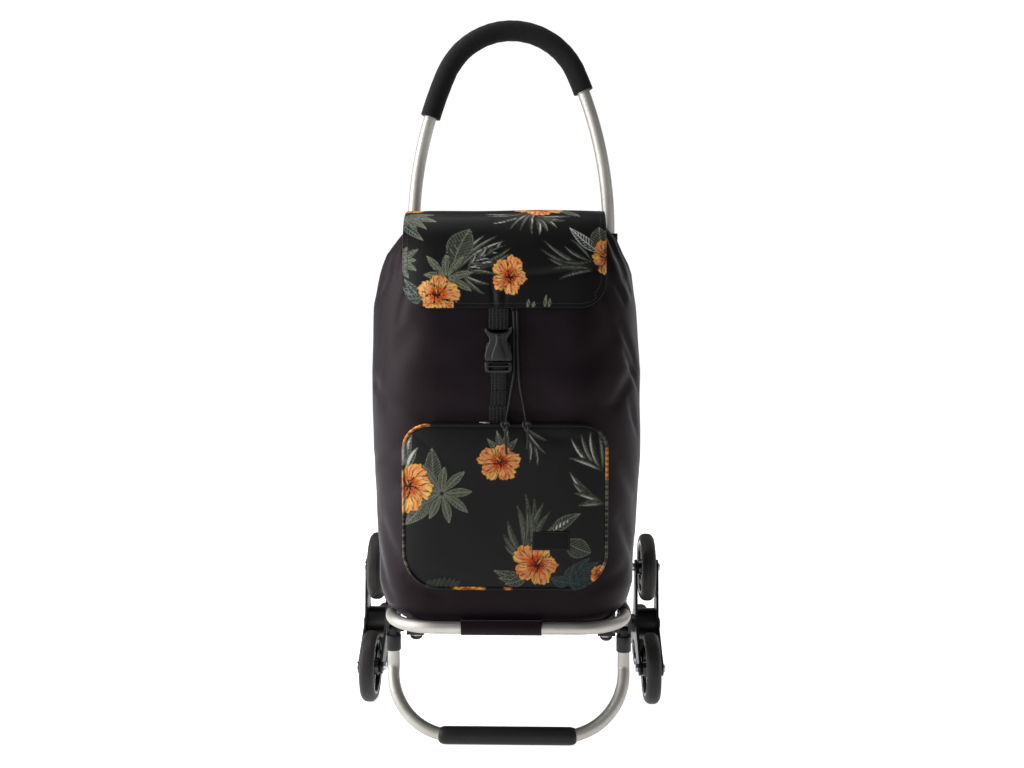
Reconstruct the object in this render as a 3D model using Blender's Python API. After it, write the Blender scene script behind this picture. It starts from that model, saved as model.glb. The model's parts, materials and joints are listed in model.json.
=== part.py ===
"""Two-leg shopping trolley with three-wheel stair climbers, a folding handle, platform and stand, and a flap bag.

The frame stands on the ground at z = 0. The two rear uprights set the frame's own y = 0: the bag and the
platform are in front of them, at -Y, and the wheels' axle is behind them. The root empty carries that frame
to the place where the whole trolley's box is centred on the origin.
"""

import math

import bmesh
import bpy
from mathutils import Matrix, Vector

# Driving dimensions, in metres.
UPRIGHT_Y = 0.0333
UPRIGHT_X = 0.1425
TUBE_RADIUS = 0.009
TUBE_WALL = 0.0015
UPRIGHT_BOTTOM = 0.0885
UPRIGHT_TOP = 0.632
GAP = 0.0003

WHEEL_RADIUS = 0.051
WHEEL_ARM = 0.088
WHEEL_X = 0.2065
AXLE_Y = 0.044
AXLE_Z = WHEEL_RADIUS + WHEEL_ARM / 2
AXLE_RADIUS = 0.005
ARM_ANGLES = {"top": 90, "front": 210, "rear": 330}

FOLD_Y = 0.020
FOLD_Z = 0.645
KNUCKLE_BOTTOM = 0.642
KNUCKLE_TOP = 0.687
COLLAR_HALF = 0.0125

HANDLE_STRAIGHT_TOP = 0.690
FLARE_RADIUS = 0.560
FLARE_ANGLE = math.radians(24)
ARCH_RADIUS = 0.103
FOAM_RADIUS = 0.0145

RAIL_X = 0.1565
RAIL_RADIUS = 0.008
RAIL_COLLAR = 0.0094
PLATFORM_Z = 0.168
PLATFORM_FRONT = -0.225
PLATFORM_CORNER = 0.066
PIVOT_Y = -0.050
PIVOT_RADIUS = 0.005

STAND_Y = -0.147
STAND_PIVOT_Z = 0.142
STAND_TUBE_RADIUS = 0.0083
STAND_KINK_Z = 0.092
STAND_TILT = math.radians(28)
STAND_CORNER = 0.086
FOOT_RADIUS = 0.0112
FOOT_HALF = 0.090

BAG_X = -0.004
BAG_BACK = -0.0135
BAG_WALL = 0.003
FLAP_HALF = 0.130
FLAP_HINGE = (-0.026, 0.701)
FLAP_THICK = 0.0025
STRAP_X = -0.0105
FLAP_LINE = (
    (-0.0270, 0.7030), (-0.0800, 0.7085), (-0.1400, 0.7065), (-0.1700, 0.6965),
    (-0.1900, 0.6740), (-0.2030, 0.6350), (-0.2113, 0.5790),
)
BAG_FLOOR = 0.0025
POCKET_HALF = 0.131
POCKET_Z = (0.221, 0.431)
POCKET_Y = (-0.2175, -0.238)
CORD_RADIUS = 0.0015
BUTTON_Z = 0.612
BUTTON_RADIUS = 0.004
FOLD_PIN_RADIUS = 0.003
FOAM_LEFT_Z = 0.856
FOAM_RIGHT_Z = 0.892
BOLT_RADIUS = 0.004
FOOT_FLAT = 0.0022


def start_empty_scene():
    for item in list(bpy.data.objects):
        bpy.data.objects.remove(item)


def make_material(name, colour, roughness, metallic=0.0):
    material = bpy.data.materials.new(name)
    material.use_nodes = True
    shader = material.node_tree.nodes["Principled BSDF"]
    shader.inputs["Base Color"].default_value = (*colour, 1)
    shader.inputs["Roughness"].default_value = roughness
    shader.inputs["Metallic"].default_value = metallic
    return material


def add_pivot(name, place, parent=None):
    """An empty on a joint's axis. place is in the uprights' frame, as every mesh's points are."""
    empty = bpy.data.objects.new(name, None)
    empty["place"] = tuple(place)
    bpy.context.collection.objects.link(empty)
    empty.parent = parent
    empty.location = Vector(place) - Vector(parent["place"]) if parent else place
    return empty


def finish_mesh(name, bm, material, parent, place=None):
    """Closes the mesh's bookkeeping and parents it. Its points are in the uprights' frame, or about place."""
    bmesh.ops.remove_doubles(bm, verts=bm.verts, dist=1e-6)
    bmesh.ops.recalc_face_normals(bm, faces=bm.faces)
    mesh = bpy.data.meshes.new(name)
    bm.to_mesh(mesh)
    bm.free()
    mesh.shade_smooth()
    mesh.set_sharp_from_angle(angle=math.radians(40))
    mesh.materials.append(material)
    return place_mesh(name, mesh, parent, place)


def place_mesh(name, mesh, parent, place=None):
    item = bpy.data.objects.new(name, mesh)
    bpy.context.collection.objects.link(item)
    item.parent = parent
    item.location = Vector(place or (0, 0, 0)) - Vector(parent["place"])
    return item


def bridge(bm, rings, close_ends=True, ring_closed=True):
    """Quads between neighbouring rings of points, and a cap on each end."""
    loops = [[bm.verts.new(point) for point in ring] for ring in rings]
    count = len(loops[0])
    for low, high in zip(loops, loops[1:]):
        for i in range(count if ring_closed else count - 1):
            j = (i + 1) % count
            bm.faces.new((low[i], low[j], high[j], high[i]))
    if close_ends:
        bm.faces.new(loops[0][::-1])
        bm.faces.new(loops[-1])
    return loops


def circle_ring(centre, along, across, radius, sides, turn=0.5):
    """A ring of points about centre. across is the direction of angle 0, and turn counts in side steps."""
    third = along.cross(across)
    angles = [2 * math.pi * (i + turn) / sides for i in range(sides)]
    return [centre + radius * (math.cos(a) * across + math.sin(a) * third) for a in angles]


def path_frames(points, across):
    """(point, tangent, across) along a path, with across carried along without twist."""
    frames = []
    for i, point in enumerate(points):
        before = points[max(i - 1, 0)]
        after = points[min(i + 1, len(points) - 1)]
        tangent = (after - before).normalized()
        across = (across - across.dot(tangent) * tangent).normalized()
        frames.append((point, tangent, across))
    return frames


def swept_rod(name, points, radius, sides, across, material, parent):
    bm = bmesh.new()
    frames = path_frames(points, Vector(across))
    bridge(bm, [circle_ring(p, t, a, radius, sides) for p, t, a in frames])
    return finish_mesh(name, bm, material, parent)


def swept_sleeve(name, points, outer, inner, sides, across, material, parent, lip=0.0):
    """A tube with an open bore along a path. lip rounds each outer end by that much."""
    bm = bmesh.new()
    frames = path_frames(points, Vector(across))
    last = len(frames) - 1
    outside = []
    for i, (p, t, a) in enumerate(frames):
        radius = outer - lip if lip and i in (0, last) else outer
        outside.append(circle_ring(p, t, a, radius, sides))
    inside = [circle_ring(p, t, a, inner, sides) for p, t, a in frames]
    rings = outside + inside[::-1]
    bridge(bm, rings + [rings[0]], close_ends=False)
    return finish_mesh(name, bm, material, parent)


def arc_points(centre, radius, start, end, steps):
    angles = [start + (end - start) * i / steps for i in range(steps + 1)]
    return [(centre[0] + radius * math.cos(a), centre[1] + radius * math.sin(a)) for a in angles]


def prism_mesh(outline, start, stop):
    """A (y, z) outline extruded along X from start to stop."""
    bm = bmesh.new()
    bridge(bm, [[Vector((x, y, z)) for y, z in outline] for x in (start, stop)])
    return bm


def spun_point(along, radius, angle, axis, centre):
    u, v = radius * math.cos(angle), radius * math.sin(angle)
    point = {"X": (along, u, v), "Y": (v, along, u), "Z": (u, v, along)}[axis]
    return Vector(point) + Vector(centre)


def turned_mesh(profile, segments, axis="X", centre=(0, 0, 0)):
    """A profile of (along, radius) points spun about an axis through centre.

    A profile that starts and ends on the axis gives a solid, and any other is closed on itself into a ring.
    """
    bm = bmesh.new()
    turns = [2 * math.pi * (i + 0.5) / segments for i in range(segments)]
    loops = []
    for along, radius in profile:
        angles = turns if radius else turns[:1]
        loops.append([bm.verts.new(spun_point(along, radius, a, axis, centre)) for a in angles])
    pairs = list(zip(loops, loops[1:]))
    if all(radius for _, radius in profile):
        pairs.append((loops[-1], loops[0]))
    for low, high in pairs:
        for i in range(segments):
            j = (i + 1) % segments
            corners = [low[i % len(low)], low[j % len(low)], high[j % len(high)], high[i % len(high)]]
            bm.faces.new(list(dict.fromkeys(corners)))
    return bm


def cylinder_mesh(centre, axis, start, stop, radius, segments):
    """A solid cylinder along one axis, between two coordinates on it."""
    index = "XYZ".index(axis)
    along = Vector([float(i == index) for i in range(3)])
    across = Vector([float(i == (index + 1) % 3) for i in range(3)])
    base = Vector(centre)
    rings = []
    for level in (start, stop):
        base[index] = level
        rings.append(circle_ring(base.copy(), along, across, radius, segments))
    bm = bmesh.new()
    bridge(bm, rings)
    return bm


def box_mesh(low, high):
    bm = bmesh.new()
    bmesh.ops.create_cube(bm, size=1)
    size = Vector(high) - Vector(low)
    middle = (Vector(high) + Vector(low)) / 2
    bm.transform(Matrix.Translation(middle) @ Matrix.Diagonal((*size, 1)))
    return bm


def carve(item, meshes, operation):
    """Joins or cuts item with each helper mesh in turn, through one applied Boolean modifier each."""
    for bm in meshes:
        bmesh.ops.recalc_face_normals(bm, faces=bm.faces)
        mesh = bpy.data.meshes.new("helper")
        bm.to_mesh(mesh)
        bm.free()
        helper = bpy.data.objects.new("helper", mesh)
        bpy.context.collection.objects.link(helper)
        helper.matrix_world = item.matrix_world
        helper.parent = item.parent
        helper.location = item.location
        bpy.context.view_layer.update()
        modifier = item.modifiers.new("carve", "BOOLEAN")
        modifier.operation = operation
        modifier.object = helper
        bpy.context.view_layer.objects.active = item
        bpy.ops.object.modifier_apply(modifier=modifier.name)
        bpy.data.objects.remove(helper)
        bpy.data.meshes.remove(mesh)
    bm = bmesh.new()
    bm.from_mesh(item.data)
    bmesh.ops.dissolve_limit(bm, angle_limit=math.radians(0.5), verts=bm.verts, edges=bm.edges)
    bm.to_mesh(item.data)
    bm.free()

SIDES = (("left", -1), ("right", 1))


def span(sign, inner, outer):
    """(start, stop) along X of a stretch between two distances from the middle plane, on one side."""
    return sorted((sign * inner, sign * outer))


# Frame: uprights, their plugs, brackets, axle, cross-bar and fold sockets.


def make_uprights(root, aluminium, plastic):
    for side, sign in SIDES:
        foot = Vector((sign * UPRIGHT_X, 0, 0))
        ends = [foot + Vector((0, 0, z)) for z in (UPRIGHT_BOTTOM, UPRIGHT_TOP)]
        inner = TUBE_RADIUS - TUBE_WALL
        name = f"upright_{side}"
        upright = swept_sleeve(name, ends, TUBE_RADIUS, inner, 20, (1, 0, 0), aluminium, root)
        start, stop = span(sign, UPRIGHT_X + 0.002, UPRIGHT_X + 0.020)
        hole = cylinder_mesh((0, 0, BUTTON_Z), "X", start, stop, BUTTON_RADIUS + GAP, 12)
        carve(upright, [hole], "DIFFERENCE")
        lip = UPRIGHT_BOTTOM - GAP
        stem = inner - GAP
        profile = [(lip + 0.010, 0), (lip + 0.010, stem), (lip, stem), (lip, 0.0096)]
        profile += [(lip - 0.0030, 0.0090), (lip - 0.0058, 0.0060), (lip - 0.0070, 0)]
        bm = turned_mesh(profile, 16, "Z", foot)
        finish_mesh(f"upright_plug_{side}", bm, plastic, root)


def make_rear_brackets(root, plastic):
    """Each holds an upright, the axle behind it and the platform's pivot in front of it."""
    body = [(-0.015, 0.0925), (0.013, 0.0900), (0.027, 0.0845)]
    body += arc_points((AXLE_Y, AXLE_Z), 0.012, math.radians(-100), math.radians(50), 6)
    body += [(0.0145, 0.128), (0.0145, 0.152), (-0.015, 0.152)]
    lug = [(-0.014, 0.118), (-0.014, 0.150)]
    lug += arc_points((PIVOT_Y, PLATFORM_Z), 0.008, math.radians(60), math.radians(250), 8)
    for side, sign in SIDES:
        bracket = finish_mesh(
            f"rear_bracket_{side}", prism_mesh(body, *span(sign, 0.1295, 0.1555)), plastic, root
        )
        carve(bracket, [prism_mesh(lug, *span(sign, 0.1297, 0.1455))], "UNION")
        cutters = [
            cylinder_mesh((sign * UPRIGHT_X, 0, 0), "Z", 0.05, 0.2, TUBE_RADIUS + GAP, 20),
            cylinder_mesh((0, AXLE_Y, AXLE_Z), "X", *span(sign, 0.12, 0.17), AXLE_RADIUS + GAP, 12),
            cylinder_mesh((0, PIVOT_Y, PLATFORM_Z), "X", *span(sign, 0.12, 0.17), PIVOT_RADIUS + GAP, 12),
        ]
        carve(bracket, cutters, "DIFFERENCE")


def make_axle(root, steel, plastic):
    end = 0.2244
    profile = [(-end, 0), (-end, AXLE_RADIUS), (end, AXLE_RADIUS), (end, 0)]
    finish_mesh("axle", turned_mesh(profile, 12, "X", (0, AXLE_Y, AXLE_Z)), steel, root)
    for side, sign in SIDES:
        rim = sign * (end + 2 * GAP)
        profile = [(rim, 0), (rim, 0.0110), (rim + sign * 0.0015, 0.0108)]
        profile += [(rim + sign * 0.0035, 0.0065), (rim + sign * 0.0041, 0)]
        bm = turned_mesh(profile, 16, "X", (0, AXLE_Y, AXLE_Z))
        finish_mesh(f"axle_cap_{side}", bm, plastic, root)


def make_crossbar(root, aluminium):
    end = UPRIGHT_X - COLLAR_HALF - GAP
    profile = [(-end, 0), (-end, 0.006), (end, 0.006), (end, 0)]
    finish_mesh("rear_crossbar", turned_mesh(profile, 12, "X", (0, 0, 0.603)), aluminium, root)


def make_fold_sockets(root, plastic, steel):
    """The lower half of each handle joint: a collar on the upright, and two cheeks that hold the pin."""
    cheek = [(0.0115, 0.616), (0.0115, 0.640)]
    cheek += arc_points((FOLD_Y, FOLD_Z), 0.007, math.radians(130), math.radians(-70), 8)
    for side, sign in SIDES:
        low = (sign * UPRIGHT_X - COLLAR_HALF, -0.012, 0.585)
        high = (sign * UPRIGHT_X + COLLAR_HALF, 0.012, 0.6405)
        socket = finish_mesh(f"handle_socket_{side}", box_mesh(low, high), plastic, root)
        cheeks = [
            prism_mesh(cheek, *sorted((sign * UPRIGHT_X + k * 0.0087, sign * UPRIGHT_X + k * 0.0124)))
            for k in (-1, 1)
        ]
        carve(socket, cheeks, "UNION")
        centre = (sign * UPRIGHT_X, 0, 0)
        start, stop = span(sign, UPRIGHT_X + 0.005, UPRIGHT_X + 0.020)
        cutters = [
            cylinder_mesh(centre, "Z", 0.5, UPRIGHT_TOP + GAP, TUBE_RADIUS + GAP, 20),
            cylinder_mesh((0, 0, BUTTON_Z), "X", start, stop, BUTTON_RADIUS + GAP, 12),
            pin_cutter(sign, FOLD_PIN_RADIUS + GAP),
        ]
        carve(socket, cutters, "DIFFERENCE")
        ends = (sign * UPRIGHT_X - 0.0135, sign * UPRIGHT_X + 0.0135)
        pin = cylinder_mesh((0, FOLD_Y, FOLD_Z), "X", *ends, FOLD_PIN_RADIUS, 12)
        finish_mesh(f"handle_pin_{side}", pin, steel, root)


def pin_cutter(sign, radius):
    ends = (sign * UPRIGHT_X - 0.03, sign * UPRIGHT_X + 0.03)
    return cylinder_mesh((0, FOLD_Y, FOLD_Z), "X", *ends, radius, 12)


def make_lock_buttons(root, plastic):
    """A sprung button in each socket, which presses in through the upright's wall."""
    for side, sign in SIDES:
        pivot = add_pivot(f"button_axis_{side}", (sign * UPRIGHT_X, 0, BUTTON_Z), root)
        inner, outer = sign * (UPRIGHT_X + 0.0035), sign * (UPRIGHT_X + COLLAR_HALF + 0.003)
        profile = [(inner, 0), (inner, BUTTON_RADIUS), (outer - sign * 0.001, BUTTON_RADIUS)]
        profile += [(outer, BUTTON_RADIUS - 0.001), (outer, 0)]
        bm = turned_mesh(profile, 12, "X", (0, 0, BUTTON_Z))
        finish_mesh(f"handle_lock_button_{side}", bm, plastic, pivot)


# Handle: the loop, its foam grip and the upper half of each joint.


def handle_path():
    """The loop's centre line in the XZ plane, from the left joint over the top to the right one."""
    flare_centre = UPRIGHT_X - FLARE_RADIUS
    flare = arc_points((flare_centre, HANDLE_STRAIGHT_TOP), FLARE_RADIUS, 0, FLARE_ANGLE, 5)
    end_x, end_z = flare[-1]
    arch_z = end_z - ARCH_RADIUS * math.sin(FLARE_ANGLE)
    arch_x = end_x - ARCH_RADIUS * math.cos(FLARE_ANGLE)
    arch = arc_points((arch_x, arch_z), ARCH_RADIUS, FLARE_ANGLE, math.pi / 2, 7)
    right = [(UPRIGHT_X, KNUCKLE_BOTTOM + 0.006)] + flare + arch[1:]
    left = [(-x, z) for x, z in right[:-1]]
    return [Vector((x, 0, z)) for x, z in left + right[::-1]]


def part_of_path(points, first_z, last_z):
    """The stretch of a handle path between a height on its left leg and one on its right leg."""
    middle = len(points) // 2
    left = cut_leg(points[: middle + 1], first_z)
    right = cut_leg(points[: middle - 1 : -1], last_z)
    return left + right[-2::-1]


def cut_leg(leg, level):
    for i, (low, high) in enumerate(zip(leg, leg[1:])):
        if low.z <= level <= high.z:
            return [low.lerp(high, (level - low.z) / (high.z - low.z))] + leg[i + 1 :]
    return leg


def make_handle(root, aluminium, foam, plastic):
    pivot = add_pivot("handle_axis", (0, FOLD_Y, FOLD_Z), root)
    path = handle_path()
    swept_rod("handle_loop", path, TUBE_RADIUS, 12, (0, 1, 0), aluminium, pivot)
    grip = part_of_path(path, FOAM_LEFT_Z, FOAM_RIGHT_Z)
    inner = TUBE_RADIUS + GAP
    swept_sleeve("foam_grip", grip, FOAM_RADIUS, inner, 12, (0, 1, 0), foam, pivot, lip=0.002)
    tongue = [(0.0105, 0.647), (0.0105, 0.662)]
    tongue += arc_points((FOLD_Y, FOLD_Z), 0.007, math.radians(60), math.radians(-180), 9)
    for side, sign in SIDES:
        low = (sign * UPRIGHT_X - COLLAR_HALF, -0.012, KNUCKLE_BOTTOM)
        high = (sign * UPRIGHT_X + COLLAR_HALF, 0.0113, KNUCKLE_TOP)
        knuckle = finish_mesh(f"handle_knuckle_{side}", box_mesh(low, high), plastic, pivot)
        ends = (sign * UPRIGHT_X - 0.0083, sign * UPRIGHT_X + 0.0083)
        carve(knuckle, [prism_mesh(tongue, *ends)], "UNION")
        bore = cylinder_mesh((sign * UPRIGHT_X, 0, 0), "Z", path[0].z - GAP, 0.8, TUBE_RADIUS + GAP, 14)
        carve(knuckle, [bore, pin_cutter(sign, FOLD_PIN_RADIUS + GAP)], "DIFFERENCE")


# Platform: the rail loop, its hinge ends and the brackets that carry the stand.


def platform_path():
    corner = arc_points(
        (RAIL_X - PLATFORM_CORNER, PLATFORM_FRONT + PLATFORM_CORNER), PLATFORM_CORNER, 0, -math.pi / 2, 6
    )
    right = [(RAIL_X, PIVOT_Y - 0.0105)] + corner
    points = [(-x, y) for x, y in right] + right[::-1]
    return [Vector((x, y, PLATFORM_Z)) for x, y in points]


def make_platform(root, aluminium, plastic, fabric, board):
    pivot = add_pivot("platform_axis", (0, PIVOT_Y, PLATFORM_Z), root)
    swept_rod("platform_loop", platform_path(), RAIL_RADIUS, 12, (0, 0, 1), aluminium, pivot)
    disc = arc_points((PIVOT_Y, PLATFORM_Z), 0.009, 0, 2 * math.pi, 14)[:-1]
    for side, sign in SIDES:
        bm = prism_mesh(disc, *span(sign, RAIL_X - 0.0098, RAIL_X + 0.0082))
        end = finish_mesh(f"platform_hinge_{side}", bm, plastic, pivot)
        rail = (sign * RAIL_X, 0, PLATFORM_Z)
        additions = [
            cylinder_mesh(rail, "Y", PIVOT_Y - 0.036, PIVOT_Y, RAIL_COLLAR, 14),
            cylinder_mesh(
                (0, PIVOT_Y, PLATFORM_Z), "X", *span(sign, 0.1305, RAIL_X), PIVOT_RADIUS, 12
            ),
        ]
        carve(end, additions, "UNION")
        bore = cylinder_mesh(rail, "Y", PIVOT_Y - 0.050, PIVOT_Y - 0.0102, RAIL_RADIUS + GAP, 14)
        carve(end, [bore], "DIFFERENCE")
    ends = [Vector((BAG_X - 0.003 + k * 0.052, PLATFORM_FRONT, PLATFORM_Z)) for k in (-1, 1)]
    inner = RAIL_RADIUS + GAP
    swept_sleeve("platform_strap", ends, inner + 0.0010, inner, 14, (0, 0, 1), fabric, pivot)
    low = (BAG_X - 0.124, -0.200, 0.1812)
    high = (BAG_X + 0.124, -0.060, 0.1842)
    finish_mesh("bag_base_board", box_mesh(low, high), board, pivot)
    return pivot


def make_stand_brackets(platform, plastic):
    """A collar round each rail, with two ears and the pin that the stand turns on."""
    ear = [(STAND_Y - 0.0065, STAND_PIVOT_Z), (STAND_Y - 0.0075, 0.163), (STAND_Y + 0.0075, 0.163)]
    ear += arc_points((STAND_Y, STAND_PIVOT_Z), 0.0065, 0, -math.pi, 7)[:-1]
    for side, sign in SIDES:
        middle = sign * RAIL_X
        rail = (middle, 0, PLATFORM_Z)
        collar = cylinder_mesh(rail, "Y", STAND_Y - 0.011, STAND_Y + 0.011, RAIL_COLLAR, 14)
        bracket = finish_mesh(f"stand_bracket_{side}", collar, plastic, platform)
        ears = [prism_mesh(ear, *sorted((middle + k * 0.0052, middle + k * 0.0095))) for k in (-1, 1)]
        pin = cylinder_mesh(
            (0, STAND_Y, STAND_PIVOT_Z), "X", middle - sign * 0.0145, middle + sign * 0.0095, 0.0034, 10
        )
        carve(bracket, ears + [pin], "UNION")
        bore = cylinder_mesh(rail, "Y", STAND_Y - 0.02, STAND_Y + 0.02, RAIL_RADIUS + GAP, 14)
        carve(bracket, [bore], "DIFFERENCE")


# Stand: the front leg loop, its sleeves and the foot that rests on the ground.


def stand_path():
    """From the left sleeve down, bent forward at the kink, across the foot and up to the right sleeve."""
    down = Vector((0, -math.sin(STAND_TILT), -math.cos(STAND_TILT)))
    kink = Vector((0, STAND_Y, STAND_KINK_Z))
    length = (STAND_KINK_Z - FOOT_RADIUS) / math.cos(STAND_TILT)
    straight = length - STAND_CORNER
    corner = arc_points((RAIL_X - STAND_CORNER, straight), STAND_CORNER, 0, math.pi / 2, 8)
    leg = [Vector((RAIL_X, STAND_Y, z)) for z in (0.1320, STAND_KINK_Z + 0.006)]
    leg += [Vector((x, 0, 0)) + kink + s * down for x, s in corner]
    return [Vector((-p.x, p.y, p.z)) for p in leg] + leg[::-1]


def make_stand(platform, aluminium, plastic, rubber):
    pivot = add_pivot("stand_axis", (0, STAND_Y, STAND_PIVOT_Z), platform)
    path = stand_path()
    swept_rod("stand_loop", path, STAND_TUBE_RADIUS, 12, (0, 1, 0), aluminium, pivot)
    foot = [p for p in path if abs(p.x) < FOOT_HALF]
    inner = STAND_TUBE_RADIUS + GAP
    make_foot_pad(foot, inner, rubber, pivot)
    tongue = arc_points((STAND_Y, STAND_PIVOT_Z), 0.006, 0, math.pi, 7)
    tongue += [(STAND_Y - 0.006, 0.130), (STAND_Y + 0.006, 0.130)]
    for side, sign in SIDES:
        middle = sign * RAIL_X
        centre = (middle, STAND_Y, 0)
        sleeve = finish_mesh(
            f"stand_sleeve_{side}", cylinder_mesh(centre, "Z", 0.114, 0.1345, 0.0102, 16), plastic, pivot
        )
        carve(sleeve, [prism_mesh(tongue, middle - 0.0048, middle + 0.0048)], "UNION")
        cutters = [
            cylinder_mesh(centre, "Z", 0.10, 0.1323, inner, 14),
            cylinder_mesh((0, STAND_Y, STAND_PIVOT_Z), "X", middle - 0.02, middle + 0.02, 0.0037, 10),
        ]
        carve(sleeve, cutters, "DIFFERENCE")


def make_foot_pad(path, inner, rubber, pivot):
    """A sleeve on the stand's lowest stretch, whose underside is ground flat where it meets the floor."""
    sides = 16
    bm = bmesh.new()
    frames = path_frames(path, Vector((0, 1, 0)))
    outside = [circle_ring(p, t, a, FOOT_RADIUS, sides) for p, t, a in frames]
    inside = [circle_ring(p, t, a, inner, sides) for p, t, a in frames]
    for ring in outside:
        for point in ring:
            point.z = max(point.z, 0.0)
    for ring in outside:
        low = min(point.z for point in ring)
        for point in ring:
            if point.z < low + FOOT_FLAT and low < FOOT_FLAT:
                point.z = 0.0
    rings = outside + inside[::-1]
    bridge(bm, rings + [rings[0]], close_ends=False)
    return finish_mesh("foot_pad", bm, rubber, pivot)


# Stair climbers: on each side a three-armed spider with three wheels.


def spider_outline():
    points = []
    for angle in sorted(ARM_ANGLES.values()):
        a = math.radians(angle)
        tip = (AXLE_Y + WHEEL_ARM * math.cos(a), AXLE_Z + WHEEL_ARM * math.sin(a))
        points += arc_points(tip, 0.0115, a - math.pi / 2, a + math.pi / 2, 6)
        valley = a + math.radians(60)
        points += arc_points((AXLE_Y, AXLE_Z), 0.0265, valley - 0.25, valley + 0.25, 2)
    return points


def wheel_centre(arm):
    a = math.radians(ARM_ANGLES[arm])
    return AXLE_Y + WHEEL_ARM * math.cos(a), AXLE_Z + WHEEL_ARM * math.sin(a)


def make_stair_climbers(root, plastic, steel, rubber):
    for side, sign in SIDES:
        pivot = add_pivot(f"spider_axis_{side}", (sign * WHEEL_X, AXLE_Y, AXLE_Z), root)
        outline = spider_outline()
        plates = (span(sign, 0.1885, 0.1925), span(sign, 0.2205, 0.2242))
        spider = finish_mesh(f"spider_{side}", prism_mesh(outline, *plates[0]), plastic, pivot)
        hub = (0, AXLE_Y, AXLE_Z)
        additions = [
            prism_mesh(outline, *plates[1]),
            cylinder_mesh(hub, "X", *span(sign, 0.190, 0.222), 0.0235, 18),
            cylinder_mesh(hub, "X", *span(sign, 0.179, 0.190), 0.0140, 16),
        ]
        carve(spider, [additions[1], additions[0], additions[2]], "UNION")
        bores = [cylinder_mesh(hub, "X", *span(sign, 0.17, 0.24), AXLE_RADIUS + GAP, 12)]
        for arm in ARM_ANGLES:
            y, z = wheel_centre(arm)
            bores.append(cylinder_mesh((0, y, z), "X", *span(sign, 0.17, 0.24), BOLT_RADIUS + GAP, 10))
        carve(spider, bores, "DIFFERENCE")
        for arm in ARM_ANGLES:
            make_wheel(side, sign, arm, pivot, plastic, steel, rubber)


def make_wheel(side, sign, arm, spider, plastic, steel, rubber):
    y, z = wheel_centre(arm)
    place = (sign * WHEEL_X, y, z)
    pivot = add_pivot(f"wheel_axis_{side}_{arm}", place, spider)
    half, crown = 0.0105, WHEEL_RADIUS
    tread = [(-half, 0.0400), (-half, crown - 0.0055), (-half + 0.003, crown - 0.0018), (-0.003, crown)]
    tread += [(-a, r) for a, r in reversed(tread)]
    finish_mesh(f"tyre_{side}_{arm}", turned_mesh(tread, 24), rubber, pivot, place)
    rim = [(-0.0098, 0.0392), (-0.0098, 0.0355), (-0.004, 0.0345), (-0.004, 0.0125)]
    rim += [(-0.0132, 0.0115), (-0.0132, BOLT_RADIUS + GAP)]
    rim += [(-a, r) for a, r in reversed(rim)]
    finish_mesh(f"wheel_{side}_{arm}", turned_mesh(rim, 16), plastic, pivot, place)
    head, nut = sign * 0.0180, -sign * 0.0183
    bolt = [(nut - sign * 0.0045, 0), (nut - sign * 0.0045, 0.0062), (nut, 0.0062), (nut, BOLT_RADIUS)]
    bolt += [(head, BOLT_RADIUS), (head, 0.0068), (head + sign * 0.0028, 0.0055), (head + sign * 0.0028, 0)]
    finish_mesh(f"wheel_bolt_{side}_{arm}", turned_mesh(bolt, 10), steel, spider, place)


# Bag: a hollow shell with an open mouth, its pocket, straps, buckle, drawstrings and flap.

# Height, half width, front face and corner radius of the bag's outside, from its floor to its mouth.
BAG_SECTIONS = (
    (0.1778, 0.150, -0.206, 0.038),
    (0.1860, 0.158, -0.211, 0.042),
    (0.2300, 0.174, -0.214, 0.045),
    (0.3000, 0.182, -0.216, 0.050),
    (0.4200, 0.186, -0.217, 0.052),
    (0.5140, 0.185, -0.215, 0.055),
    (0.5840, 0.181, -0.208, 0.060),
    (0.6240, 0.174, -0.200, 0.062),
    (0.6510, 0.162, -0.189, 0.062),
    (0.6760, 0.145, -0.172, 0.060),
    (0.6940, 0.126, -0.154, 0.055),
)
CORNER_STEPS = 4


def bag_ring(height, half, front, corner, inset):
    """One rounded rectangle of the bag, or of its inside when inset by the wall."""
    corner = corner - inset
    left, right = BAG_X - half + inset, BAG_X + half - inset
    near, far = front + inset, BAG_BACK - inset
    quarter = math.pi / 2
    ring = []
    for k, (x, y) in enumerate(((right, far), (left, far), (left, near), (right, near))):
        cx = x - corner if x == right else x + corner
        cy = y - corner if y == far else y + corner
        ring += arc_points((cx, cy), corner, k * quarter, (k + 1) * quarter, CORNER_STEPS)
    return [Vector((x, y, height)) for x, y in ring]


def make_bag(root, fabric):
    bm = bmesh.new()
    outside = [bag_ring(z, half, front, corner, 0) for z, half, front, corner in BAG_SECTIONS]
    inside = [bag_ring(z, half, front, corner, BAG_WALL) for z, half, front, corner in BAG_SECTIONS]
    for point in inside[0]:
        point.z += BAG_FLOOR
    inside[1:2] = []
    bridge(bm, outside + inside[::-1])
    finish_mesh("bag_body", bm, fabric, root)


def make_pocket(root, print_fabric):
    """The front pocket: a flat gusseted pouch with rounded corners, sewn on the bag's front."""
    low, high = POCKET_Z
    half = POCKET_HALF
    corners = []
    for k, (x, z) in enumerate(((half, high), (-half, high), (-half, low), (half, low))):
        radius = 0.032 if z == high else 0.046
        cx = x - math.copysign(radius, x)
        cz = z - math.copysign(radius, z - (low + high) / 2)
        corners += arc_points((cx, cz), radius, k * math.pi / 2, (k + 1) * math.pi / 2, 4)
    back, front = POCKET_Y
    rings = []
    for y, shrink in ((back, 1.0), (front + 0.004, 1.0), (front, 0.965)):
        middle = (low + high) / 2
        rings.append([Vector((BAG_X + x * shrink, y, middle + (z - middle) * shrink)) for x, z in corners])
    bm = bmesh.new()
    bridge(bm, rings)
    finish_mesh("front_pocket", bm, print_fabric, root)


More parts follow.
